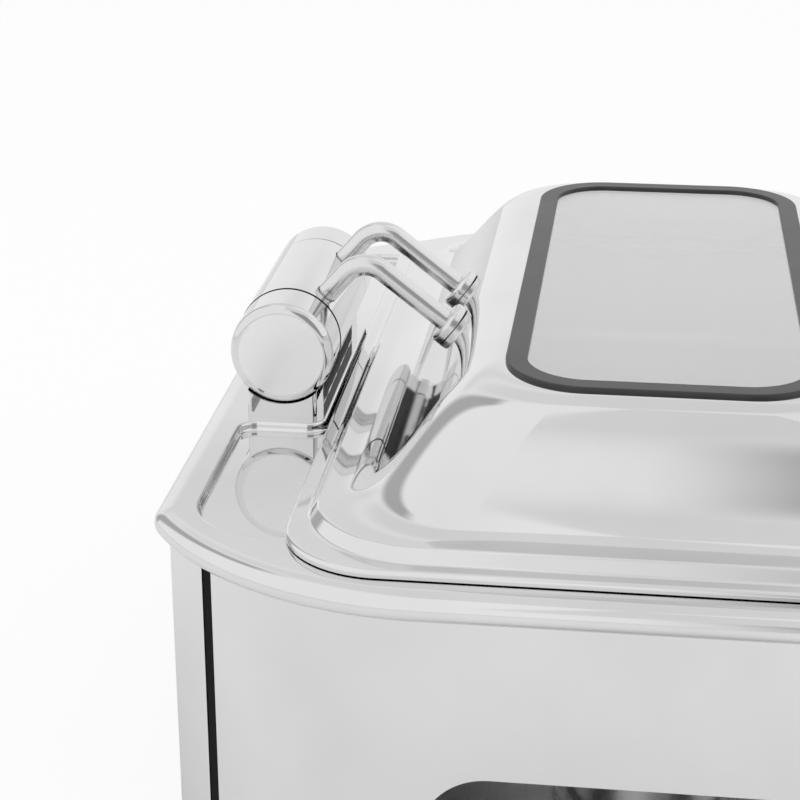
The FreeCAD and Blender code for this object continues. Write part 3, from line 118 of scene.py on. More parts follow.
class Graph:
    """Node graph of a material or of the world."""

    def __init__(self, tree: bpy.types.NodeTree) -> None:
        """Start from an empty tree.

        Args:
            tree: the node tree to fill.
        """
        self.tree = tree
        tree.nodes.clear()

    def add(
        self,
        kind: str,
        settings: Optional[Mapping[str, Any]] = None,
        inputs: Optional[Mapping[Union[str, int], Value]] = None,
        output: Union[str, int] = 0,
    ) -> Optional[Signal]:
        """Add one node.

        Args:
            kind: the node's type.
            settings: its properties, set before its sockets.
            inputs: the value or link of each input socket.
            output: the output socket to return.

        Returns:
            The chosen output as a signal, or None from a node without outputs.
        """
        node = self.tree.nodes.new(kind)
        for key, setting in (settings or {}).items():
            setattr(node, key, setting)
        for key, value in (inputs or {}).items():
            if isinstance(value, Signal):
                self.tree.links.new(value.socket, node.inputs[key])
            else:
                node.inputs[key].default_value = value
        return Signal(self, node.outputs[output]) if node.outputs else None

    def maths(self, operation: str, *values: Value) -> Signal:
        """Return the Math node of one or two values."""
        return self.add("ShaderNodeMath", {"operation": operation}, dict(enumerate(values)))

    def place(self, stretch: Place = EVEN) -> Signal:
        """Return the object's own coordinates in metres, stretched along each axis."""
        coordinates = self.add("ShaderNodeTexCoord", output="Object")
        return self.add("ShaderNodeVectorMath", {"operation": "MULTIPLY"}, {0: coordinates, 1: stretch})

    def noise(self, scale: float, detail: float = 2.0, stretch: Place = EVEN) -> Signal:
        """Return noise of about 0.5 on average, with scale features per metre and finer layers."""
        inputs = {"Vector": self.place(stretch), "Scale": scale, "Detail": detail}
        return self.add("ShaderNodeTexNoise", {"noise_dimensions": "3D"}, inputs, "Fac")

    def tint(self, factor: Value, first: Value, second: Value) -> Signal:
        """Return a mix of two colours.

        Args:
            factor: 0 gives the first and 1 the second.
            first: a colour or a link to one.
            second: the other colour.

        Returns:
            The mixed colour.
        """
        first, second = (tone if isinstance(tone, Signal) else (*tone, 1.0) for tone in (first, second))
        settings = {"data_type": "RGBA", "blend_type": "MIX"}
        return self.add("ShaderNodeMix", settings, {0: factor, 6: first, 7: second}, 2)

    def step(self, value: Value, low: float, high: float, kind: str = "SMOOTHSTEP") -> Signal:
        """Return a step of a value: 0 below low, 1 above high, and a rise of the given kind between."""
        ends = {"Value": value, "From Min": low, "From Max": high}
        return self.add("ShaderNodeMapRange", {"interpolation_type": kind, "clamp": True}, ends)

    def bump(self, height: Value, distance: float, strength: float = 1.0) -> Signal:
        """Return a normal pushed about by a height from 0 to 1, over a relief of a depth in metres."""
        relief = {"Height": height, "Distance": distance, "Strength": strength}
        return self.add("ShaderNodeBump", {}, relief)

    def ray(self, kind: str) -> Signal:
        """Return 1 for rays of one kind, such as Camera, and 0 for others."""
        return self.add("ShaderNodeLightPath", output=f"Is {kind} Ray")

    def blend(self, factor: Value, first: Signal, second: Signal) -> Signal:
        """Return a mix of two shaders: a factor of 0 gives the first and 1 the second."""
        return self.add("ShaderNodeMixShader", {}, {0: factor, 1: first, 2: second})


def new_material(name: str) -> tuple[bpy.types.Material, Graph]:
    """Return a new material and its graph."""
    material = bpy.data.materials.new(name)
    material.use_nodes = True
    return material, Graph(material.node_tree)


def new_object(name: str, data: bpy.types.ID) -> bpy.types.Object:
    """Return a new object of the scene."""
    item = bpy.data.objects.new(name, data)
    bpy.context.scene.collection.objects.link(item)
    return item


class Finish:
    """What all finishes share: a name, a slot and a way to make the material."""

    name: str
    slot: Slot

    def shade(self, graph: Graph) -> Mapping[str, Value]:
        """Return the values and links of the principled shader."""
        raise NotImplementedError

    def surface(self, graph: Graph) -> Signal:
        """Return the finish's shader."""
        return graph.add("ShaderNodeBsdfPrincipled", {}, self.shade(graph))

    def material(self) -> bpy.types.Material:
        """Return the finish's material, made on first use."""
        material = bpy.data.materials.get(self.name)
        if material is None:
            material, graph = new_material(self.name)
            graph.add("ShaderNodeOutputMaterial", {}, {"Surface": self.surface(graph)})
        return material


@dataclass(frozen=True)
class MirrorSteel(Finish):
    """Polished stainless steel with a faint haze and the slow waves of drawn sheet."""

    name: str = "mirror_polished_steel"
    slot: Slot = Slot.MIRROR
    bright: Colour = (0.80, 0.80, 0.805)
    dull: Colour = (0.74, 0.74, 0.745)
    polish: float = 0.035
    haze: float = 0.05
    wave: float = 0.00002
    metal: float = 1.0
    clouds: float = 9.0
    cloud_edge: Point = (0.35, 0.7)
    grains: float = 420.0
    waves: float = 14.0

    def shade(self, graph: Graph) -> Mapping[str, Value]:
        """Return the values and links of the principled shader."""
        cloud, grain = graph.noise(self.clouds, 3.0), graph.noise(self.grains)
        dulled = graph.step(cloud, *self.cloud_edge, "LINEAR")
        return {
            "Base Color": graph.tint(dulled, self.bright, self.dull),
            "Metallic": self.metal,
            "Roughness": self.polish + self.haze * (cloud * grain),
            "Normal": graph.bump(graph.noise(self.waves, 1.0), self.wave),
        }


@dataclass(frozen=True)
class PaintedShadeSteel(MirrorSteel):
    """Polished steel with painted shade: black painted over the middle of its length, above a set height,
    where shade falls under the hinge barrel, with an uneven edge.
    """

    name: str = "steel_with_painted_shade"
    black: Colour = (0.007, 0.007, 0.007)
    rough: float = 0.5
    half_length: float = 0.056
    low: float = 0.2245
    soft: float = 0.003
    ripples: float = 110.0
    stray_along: float = 0.012
    stray_up: float = 0.003

    def shade(self, graph: Graph) -> Mapping[str, Value]:
        """Return the values and links of the principled shader."""
        ripple = graph.noise(self.ripples, 3.0) - 0.5
        along, up = (graph.add("ShaderNodeSeparateXYZ", {}, {0: graph.place()}, axis) for axis in "XZ")
        off = graph.maths("ABSOLUTE", along) + ripple * self.stray_along
        near = 1.0 - graph.step(off, self.half_length - self.soft, self.half_length + self.soft)
        # painted shade: 1 where black stands in for the shade under the hinge barrel, 0 on the bare steel
        painted_shade = near * graph.step(up + ripple * self.stray_up, self.low, self.low + self.soft / 2)
        return {
            **super().shade(graph),
            "Base Color": graph.tint(painted_shade, self.bright, self.black),
            "Metallic": 1.0 - painted_shade,
            "Roughness": self.polish + self.rough * painted_shade,
        }


@dataclass(frozen=True)
class DrawnMetal(Finish):
    """Brushed, turned or drawn metal with fine marks in one direction."""

    name: str
    slot: Slot
    bright: Colour
    dull: Colour
    roughness: float
    spread: float = 0.15
    marks: float = 700.0
    stretch: Place = (1.0, 0.1, 0.1)
    relief: float = 0.00002
    relief_share: float = 0.5

    def shade(self, graph: Graph) -> Mapping[str, Value]:
        """Return the values and links of the principled shader."""
        marks = graph.noise(self.marks, 2.0, self.stretch)
        return {
            "Base Color": graph.tint(marks, self.bright, self.dull),
            "Metallic": 1.0,
            "Roughness": self.roughness + self.spread * marks,
            "Normal": graph.bump(marks, self.relief, self.relief_share),
        }


@dataclass(frozen=True)
class Moulding(Finish):
    """Moulded plastic or rubber with a fine eroded grain."""

    name: str
    slot: Slot
    colour: Colour
    worn: Colour
    roughness: float
    gloss: float = 0.5
    spread: float = 0.12
    clouds: float = 30.0
    grains: float = 1800.0
    relief: float = 0.00003
    relief_share: float = 0.7

    def shade(self, graph: Graph) -> Mapping[str, Value]:
        """Return the values and links of the principled shader."""
        grain, cloud = graph.noise(self.grains), graph.noise(self.clouds)
        return {
            "Base Color": graph.tint(cloud, self.colour, self.worn),
            "Roughness": self.roughness + self.spread * cloud,
            "Specular IOR Level": self.gloss,
            "Normal": graph.bump(grain, self.relief, self.relief_share),
        }


@dataclass(frozen=True)
class WindowGlass(Finish):
    """Clear toughened glass with a faint green edge and a trace of smear."""

    name: str = "clear_toughened_glass"
    slot: Slot = Slot.GLASS
    clear: Colour = (0.96, 0.975, 0.97)
    smear: Colour = (0.93, 0.95, 0.945)
    smears: float = 11.0
    haze: float = 0.02
    refraction: float = 1.5
    film: float = 0.42
    film_tint: Colour = (0.96, 0.96, 0.96)
    film_roughness: float = 0.03

    def shade(self, graph: Graph) -> Mapping[str, Value]:
        """Return the values and links of the principled shader."""
        cloud = graph.noise(self.smears, 3.0)
        return {
            "Base Color": graph.tint(cloud, self.clear, self.smear),
            "Roughness": self.haze * cloud,
            "IOR": self.refraction,
            "Transmission Weight": 1.0,
        }

    def surface(self, graph: Graph) -> Signal:
        """Return the glass: it mirrors a share of the studio and lets the lamps' light through."""
        clear = graph.add("ShaderNodeBsdfTransparent", {}, {"Color": (*self.clear, 1.0)})
        values = {"Base Color": (*self.film_tint, 1.0), "Metallic": 1.0, "Roughness": self.film_roughness}
        mirrored = graph.add("ShaderNodeBsdfPrincipled", {}, values)
        pane = graph.blend(self.film, super().surface(graph), mirrored)
        return graph.blend(graph.ray("Shadow"), pane, clear)


MIRROR = MirrorSteel()
FINE_STEEL = MirrorSteel(
    "finely_brushed_steel", bright=(0.97, 0.97, 0.97), dull=(0.93, 0.93, 0.93), polish=0.22, wave=0.0,
    metal=0.45,
)
ROD_STEEL = MirrorSteel(
    "drawn_rod_steel", bright=(0.80, 0.80, 0.80), dull=(0.75, 0.75, 0.755), polish=0.17, haze=0.08, wave=0.0
)
# steel with black painted shade, for the bracket's front and rear faces under the hinge barrel
FLANK_STEEL_WITH_PAINTED_SHADE = PaintedShadeSteel()
SATIN = DrawnMetal(
    "satin_brushed_steel", Slot.SATIN, (0.72, 0.72, 0.725), (0.60, 0.60, 0.61), 0.24, spread=0.16,
    marks=900.0, stretch=(0.02, 1.0, 1.0), relief_share=0.6,
)
BRONZE = DrawnMetal("oiled_bronze", Slot.BRONZE, (0.62, 0.42, 0.20), (0.45, 0.29, 0.13), 0.30)
DAMPER = DrawnMetal("bead_blasted_aluminium", Slot.DAMPER, (0.72, 0.72, 0.73), (0.62, 0.62, 0.63), 0.38)
DARK_MOULDING = Moulding(
    "dark_grey_moulding", Slot.DARK_FRAME, (0.030, 0.031, 0.033), (0.042, 0.043, 0.045), 0.30
)
BLACK_MOULDING = Moulding(
    "black_moulding", Slot.POLYMER, (0.006, 0.006, 0.0065), (0.010, 0.010, 0.010), 0.55, 0.06
)
RUBBER = Moulding("black_rubber", Slot.RUBBER, (0.010, 0.010, 0.010), (0.018, 0.018, 0.017), 0.70, 0.15)
GLASS = WindowGlass()


@dataclass(frozen=True)
class Extent:
    """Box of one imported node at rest, in millimetres."""

    low: Vector
    high: Vector

    @classmethod
    def of(cls, node: str) -> "Extent":
        """Return the extent of a node of the frame."""
        low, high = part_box(node)
        return cls(low / MM, high / MM)

    @property
    def middle(self) -> Vector:
        """Middle of the box."""
        return (self.low + self.high) / 2

    @property
    def half(self) -> Vector:
        """Half the size of the box."""
        return (self.high - self.low) / 2


def packed(node: str) -> Any:
    """Return a dataclass field that holds the extent of a node."""
    return field(default_factory=lambda: Extent.of(node))


def round_corner(
    before: Vector, spot: Vector, after: Vector, radius: float, steps: int, grow: float = 0.0
) -> list[Point]:
    """Return the points of one rounded corner.

    Args:
        before: the corner before it.
        spot: the corner itself, in the plane of its two runs.
        after: the corner after it.
        radius: its round.
        steps: pieces in which the round is divided.
        grow: the distance by which the line is moved to its right.

    Returns:
        The points, as many for every grow.
    """
    into, out = (spot - before).normalized(), (after - spot).normalized()
    turn = math.atan2(into.x * out.y - into.y * out.x, into.dot(out))
    side = math.copysign(1.0, turn)
    inward = Vector((-into.y, into.x)) * side
    centre = spot - into * radius * math.tan(abs(turn) / 2) + inward * radius
    arms = (Matrix.Rotation(turn * step / steps, 2) @ -inward for step in range(steps + 1))
    return [tuple(centre + arm * (radius + side * grow)) for arm in arms]


def soft_profile(corners: Sequence[Point], rounds: Sequence[float], steps: int) -> list[Point]:
    """Round the corners of an open profile.

    Args:
        corners: the profile's corners.
        rounds: the radius at each corner but the first and the last.
        steps: pieces in which each round is divided.

    Returns:
        The profile's points.
    """
    points = [corners[0]]
    for number, radius in enumerate(rounds):
        before, spot, after = (Vector(corner) for corner in corners[number : number + 3])
        points += round_corner(before, spot, after, radius, steps)
    return points + [corners[-1]]


def quarter(edge: float, steps: int) -> list[Point]:
    """Return, at each step of a quarter round, the way gone on one axis and the way left on the other."""
    turns = [math.pi / 2 * step / steps for step in range(steps + 1)]
    return [(edge * (1 - math.cos(turn)), edge * (1 - math.sin(turn))) for turn in turns]


def s_curve(share: float) -> float:
    """Return the dome's rise, from 0 to 1, at a share of the run from its foot to its top."""
    return share**3 * (10 - 15 * share + 6 * share**2)


@dataclass(frozen=True)
class Corner:
    """Corner of a plan outline and its round."""

    x: float
    y: float
    radius: float


@dataclass(frozen=True)
class Outline:
    """Closed plan outline, anticlockwise seen from above, of straight runs joined by round corners."""

    corners: Sequence[Corner]
    steps: int = 20

    @classmethod
    def box(cls, half_x: float, half_y: float, radius: float, y: float, steps: int = 20) -> "Outline":
        """Return a rectangle with four equal rounds about a point on the Y axis."""
        signs = ((-1, -1), (1, -1), (1, 1), (-1, 1))
        return cls([Corner(a * half_x, y + b * half_y, radius) for a, b in signs], steps)

    def ring(self, z: float, grow: float = 0.0) -> Ring:
        """Return the outline as a ring of points at one height.

        Args:
            z: the height.
            grow: the distance outwards; a negative one moves inwards.

        Returns:
            The ring, of as many points for every grow.
        """
        spots = [Vector((corner.x, corner.y)) for corner in self.corners]
        points: list[Point] = []
        for number, (spot, corner) in enumerate(zip(spots, self.corners)):
            after = spots[(number + 1) % len(spots)]
            points += round_corner(spots[number - 1], spot, after, corner.radius, self.steps, grow)
        return [Vector((x, y, z)) for x, y in points]


@dataclass
class Skin:
    """Mesh of one piece while it is built from rings of points."""

    name: str
    spots: list[Vector] = field(default_factory=list)
    faces: list[tuple[int, ...]] = field(default_factory=list)
    second_faces: list[int] = field(default_factory=list)

    def ring(self, points: Iterable[Vector]) -> list[int]:
        """Add a ring's points and return their numbers."""
        first = len(self.spots)
        self.spots.extend(points)
        return list(range(first, len(self.spots)))

    def loft(
        self, rings: Sequence[Ring], closed: bool = False, start: Sequence[int] = ()
    ) -> tuple[list[int], list[int]]:
        """Run bands of faces through rings of as many points.

        Args:
            rings: the rings, up the outside, over the top and down the inside.
            closed: whether the last ring is joined to the first.
            start: the numbers of a ring that is already there and comes before them.

        Returns:
            The numbers of the first and of the last ring.
        """
        numbers = [list(start)] if start else []
        numbers += [self.ring(ring) for ring in rings]
        for first, second in zip(numbers, numbers[1:] + numbers[:1] if closed else numbers[1:]):
            for number in range(len(first)):
                after = (number + 1) % len(first)
                self.faces.append((first[number], first[after], second[after], second[number]))
        return numbers[0], numbers[-1]

    def cap(self, ring: Sequence[int], second: bool = False) -> None:
        """Close a ring with one face.

        Args:
            ring: the ring.
            second: whether the face takes the skin's second finish.
        """
        if second:
            self.second_faces.append(len(self.faces))
        self.faces.append(tuple(ring))

    def tube(self, rings: Sequence[Ring]) -> None:
        """Run bands through rings and close both ends."""
        for end in self.loft(rings):
            self.cap(end)

    def turn(self, profile: Sequence[Point], segments: int) -> None:
        """Turn a profile about the skin's Z axis.

        Args:
            profile: radius and height of each point; a last radius of 0 closes the end with a face
                of the second finish, and any other one is joined to the first point.
            segments: faces round the axis.
        """
        spokes = [2 * math.pi * number / segments for number in range(segments)]
        tip = profile[-1][0] <= 0
        _, last = self.loft([
            [Vector((radius * math.cos(spoke), radius * math.sin(spoke), height)) for spoke in spokes]
            for radius, height in profile if radius > 0
        ], closed=not tip)
        if tip:
            self.cap(last, second=True)

    def plate(self, outer: Sequence[int], holes: Sequence[Sequence[int]] = (), up: bool = True) -> None:
        """Fill a flat region between an outer ring and its holes.

        Args:
            outer: the outer ring.
            holes: the rings of the holes.
            up: whether the face looks up.
        """
        loops = [list(outer)] + [list(hole) for hole in holes]
        numbers = [number for loop in loops for number in loop]
        for triangle in tessellate_polygon([[self.spots[number] for number in loop] for loop in loops]):
            a, b, c = (numbers[corner] for corner in triangle)
            normal = (self.spots[b] - self.spots[a]).cross(self.spots[c] - self.spots[a])
            if normal.length >= SLIVER:
                self.faces.append((a, b, c) if (normal.z > 0) == up else (a, c, b))

    def piece(
        self,
        finish: Finish,
        body: str,
        node: str,
        second: Optional[Finish] = None,
        place: Optional[Matrix] = None,
    ) -> None:
        """Make the piece's object, with its finish, its body and the node that it stands for.

        Args:
            finish: the finish of the faces.
            body: the body that it rides on.
            node: the node of the frame that it stands for.
            second: the finish of the second faces.
            place: where the skin's own frame sits, in millimetres.
        """
        matrix = Matrix.Scale(MM, 4) @ (place or Matrix.Identity(4))
        mesh = bpy.data.meshes.new(self.name)
        mesh.from_pydata([matrix @ spot for spot in self.spots], [], self.faces)
        mesh.materials.append(finish.material())
        if second is not None:
            mesh.materials.append(second.material())
            for number in self.second_faces:
                mesh.polygons[number].material_index = 1
        work = bmesh.new()
        work.from_mesh(mesh)
        bmesh.ops.remove_doubles(work, verts=work.verts, dist=SAME_POINT)
        bmesh.ops.recalc_face_normals(work, faces=work.faces)
        work.to_mesh(mesh)
        work.free()
        mesh.shade_smooth()
        mesh.set_sharp_from_angle(angle=math.radians(SHARP_ANGLE))
        item = new_object(self.name, mesh)
        even_normals(item, "FACE_AREA")
        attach(item, body)
        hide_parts(node)
        LOG.info("%s: %d faces on %s", self.name, len(mesh.polygons), body)


def even_normals(item: bpy.types.Object, mode: str) -> None:
    """Keep flat faces flat between rounds.

    Args:
        item: the object.
        mode: how the modifier weighs its faces.
    """
    modifier = item.modifiers.new("even_normals", "WEIGHTED_NORMAL")
    modifier.mode = mode
    modifier.keep_sharp = True


def dress(node: str, finish: Finish, bevel: float = 0.0, flanks: Optional[Finish] = None) -> None:
    """Give a node of the frame its finish and fine rounds on its edges.

    Args:
        node: the node's name.
        finish: its finish.
        bevel: the round on its edges, or 0 for none.
        flanks: the finish of the faces that look to the front or the rear, if it is another.
    """
    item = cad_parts[node]
    item.data.materials.clear()
    item.data.materials.append(finish.material())
    if flanks is not None:
        item.data.materials.append(flanks.material())
        for polygon in item.data.polygons:
            polygon.material_index = int(abs(polygon.normal.y) > FLANK_NORMAL)
    if bevel > 0:
        weld = item.modifiers.new("weld", "WELD")
        weld.merge_threshold = SAME_CORNER
        round_off = item.modifiers.new("edge_round", "BEVEL")
        round_off.width = bevel * MM
        round_off.segments = 2
        round_off.limit_method = "ANGLE"
        round_off.angle_limit = math.radians(BEVEL_ANGLE)
        round_off.harden_normals = False
        even_normals(item, "FACE_AREA_WITH_ANGLE")
    LOG.info("%s: packed node, %s", node, finish.name)


@dataclass(frozen=True)
class Plain:
    """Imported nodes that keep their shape, under one finish and with one round on their edges."""

    finish: Finish
    bevel: float
    nodes: Sequence[str]

    def build(self) -> None:
        """Dress the nodes."""
        for node in self.nodes:
            dress(node, self.finish, self.bevel)


def named(*stems: str, ends: Sequence[str] = SIDES) -> list[str]:
    """Return node names: each stem with each end."""
    return [f"{stem}_{end}" for stem in stems for end in ends]


PLAIN_NODES = (
    Plain(MIRROR, 0.35, ["front_panel", "rear_panel", "left_panel", "right_panel"]),
    Plain(MIRROR, 0.3, ["hinge_sleeve"]),
    Plain(BLACK_MOULDING, 0.0, ["joint_ring_right"]),
    Plain(BLACK_MOULDING, 0.3, named("corner_post", ends=CORNERS)),
    Plain(BLACK_MOULDING, 0.5, named("snuffer_knob")),
    Plain(RUBBER, 0.0, ["lid_gasket"]),
    Plain(RUBBER, 0.8, named("foot", ends=CORNERS)),
    Plain(SATIN, 0.0, ["hinge_shaft"]),
    Plain(SATIN, 0.2, ["lid_washers"]),
    Plain(SATIN, 0.3, ["panel_nuts", "bracket_screws"]),
    Plain(SATIN, 0.3, named("burner_holder", "snuffer_cover", "pivot_pin")),
    Plain(SATIN, 0.4, ["burner_shelf", "lid_nuts"]),
    Plain(SATIN, 0.5, ["shelf_screws"]),
    Plain(BRONZE, 0.0, named("sleeve_bushing")),
    Plain(DAMPER, 0.0, ["damper_cartridge"]),
    Plain(GLASS, 0.0, ["window_glass"]),
)


@dataclass
class BentRod:
    """Round rod bent in one plane, from its corner points."""

    corners: Sequence[Vector]
    bend: float
    radius: float
    around: int = 96
    along: int = 32

    def centre_line(self) -> list[tuple[Vector, Vector]]:
        """Return points of the centre line with the direction at each."""
        corners = self.corners
        stations = [(corners[0], (corners[1] - corners[0]).normalized())]
        for before, spot, after in zip(corners, corners[1:], corners[2:]):
            into, out = (spot - before).normalized(), (after - spot).normalized()
            turn = into.angle(out)
            normal = into.cross(out).normalized()
            start = spot - into * self.bend * math.tan(turn / 2)
            centre = start + normal.cross(into) * self.bend
            for step in range(self.along + 1):
                swing = Matrix.Rotation(turn * step / self.along, 3, normal)
                stations.append((centre + swing @ (start - centre), swing @ into))
        return stations + [(corners[-1], (corners[-1] - corners[-2]).normalized())]

    def section(self, spot: Vector, along: Vector, across: Vector, radius: float) -> Ring:
        """Return one ring of the rod.

        Args:
            spot: the ring's middle.
            along: the rod's direction there.
            across: the normal of the bend's plane.
            radius: the ring's radius.

        Returns:
            The ring.
        """
        side = along.cross(across).normalized()
        angles = [2 * math.pi * number / self.around for number in range(self.around)]
        return [spot + (across * math.cos(a) + side * math.sin(a)) * radius for a in angles]

    def rings(self, across: Vector) -> list[Ring]:
        """Return the rod's rings from end to end, from the normal of the bend's plane."""
        return [self.section(spot, along, across, self.radius) for spot, along in self.centre_line()]


@dataclass
class Deck:
    """Deck with its bullnose rim, drip channel, hinge platform and pan ledge."""

    sheet: float = 1.2
    rim_height: float = 15.0
    rim_run: float = 11.0
    rim_steps: int = 64
    wall_gap: float = 7.3
    front_corner: float = 62.0
    rear_corner: float = 24.0
    bow: float = 171.0
    bow_setback: float = 147.5
    channel_end: float = 60.5
    channel_lap: float = 8.0
    channel_rear: float = 22.5
    channel_depth: float = 5.0
    channel_corner: float = 40.0
    channel_front_corner: float = 12.0
    channel_round: float = 2.2
    channel_steps: int = 40
    platform_half: float = 89.5
    platform_nose: float = 6.2
    platform_corner: float = 12.0
    heel_corner: float = 10.0
    ledge_half: Point = (276.0, 175.5)
    ledge_corner: float = 32.0
    ledge_depth: float = 3.0
    ledge_round: float = 0.8
    mouth_half: Point = (263.5, 161.0)
    mouth_corner: float = 57.5
    round_steps: int = 12
    extent: Extent = packed("deck_frame")
    lid: Extent = packed("lid_shell")
    bracket: Extent = packed("hinge_bracket")

    def rim(self) -> Outline:
        """Return the plan outline of the rim, with its bowed rear corners."""
        low, high = self.extent.low, self.extent.high
        slack = self.bow - self.rear_corner
        meet = math.asin((self.bow_setback - self.rear_corner) / slack)
        bow_y = high.y - self.bow_setback + self.bow * math.tan(meet / 2)
        heel = self.rear_corner * math.tan((math.pi / 2 - meet) / 2)
        heel_x = high.x - self.bow + slack * math.cos(meet) + heel
        return Outline([
            Corner(low.x, low.y, self.front_corner), Corner(high.x, low.y, self.front_corner),
            Corner(high.x, bow_y, self.bow), Corner(heel_x, high.y, self.rear_corner),
            Corner(-heel_x, high.y, self.rear_corner), Corner(low.x, bow_y, self.bow),
        ], self.rim_steps)

    def channel(self) -> Outline:
        """Return the U-shaped outline of the drip channel, round the hinge platform."""
        end, rear = self.extent.high.x - self.channel_end, self.extent.high.y - self.channel_rear
        front = self.lid.high.y - self.channel_lap
        half, nose = self.platform_half, self.bracket.low.y - self.platform_nose
        return Outline([
            Corner(-end, front, self.channel_front_corner), Corner(end, front, self.channel_front_corner),
            Corner(end, rear, self.channel_corner), Corner(half, rear, self.heel_corner),
            Corner(half, nose, self.platform_corner), Corner(-half, nose, self.platform_corner),
            Corner(-half, rear, self.heel_corner), Corner(-end, rear, self.channel_corner),
        ], self.channel_steps)

    def dished(self, outline: Outline, top: float, depth: float, edge: float) -> list[Ring]:
        """Return rings down a pressed wall with a round above and a round below.

        Args:
            outline: the wall's outline.
            top: the height of its upper edge.
            depth: how far down it goes.
            edge: the radius of both rounds.

        Returns:
            The rings from the top to the floor.
        """
        turns = quarter(edge, self.round_steps)
        upper = [outline.ring(top - slow, late) for slow, late in turns]
        return upper + [outline.ring(top - depth + late, -slow) for slow, late in turns]

    def build(self) -> None:
        """Build the deck."""
        skin = Skin("deck")
        top, sheet = self.extent.high.z, self.sheet
        rim, channel = self.rim(), self.channel()
        ledge = Outline.box(*self.ledge_half, self.ledge_corner, self.lid.middle.y)
        mouth = Outline.box(*self.mouth_half, self.mouth_corner, self.lid.middle.y)

        drop, steps = self.rim_height / 2, 2 * self.round_steps
        lip = [rim.ring(top - sheet, -self.wall_gap)]
        for step in range(steps, -1, -1):
            turn = math.pi * step / steps
            run = self.rim_run if math.cos(turn) > 0 else self.wall_gap
            lip.append(rim.ring(top - drop + drop * math.cos(turn), -run * (1 - math.sin(turn))))
        under_rim, over_rim = skin.loft(lip)

        channel_wall = self.dished(channel, top, self.channel_depth, self.channel_round)
        channel_edge, channel_floor = skin.loft(channel_wall)
        skin.plate(channel_floor)
        ledge_edge, ledge_floor = skin.loft(self.dished(ledge, top, self.ledge_depth, self.ledge_round))
        skin.plate(over_rim, [channel_edge, ledge_edge])

        shelf = top - self.ledge_depth
        _, ledge_high = skin.loft([
            mouth.ring(shelf), mouth.ring(shelf - sheet), ledge.ring(shelf - sheet, sheet),
            ledge.ring(top - sheet, sheet),
        ], start=ledge_floor)
        channel_low, channel_high = skin.loft([
            channel.ring(top - self.channel_depth - sheet, sheet), channel.ring(top - sheet, sheet),
        ])
        skin.plate(channel_low, up=False)
        skin.plate(under_rim, [channel_high, ledge_high], up=False)
        skin.piece(MIRROR, "stand", "deck_frame")


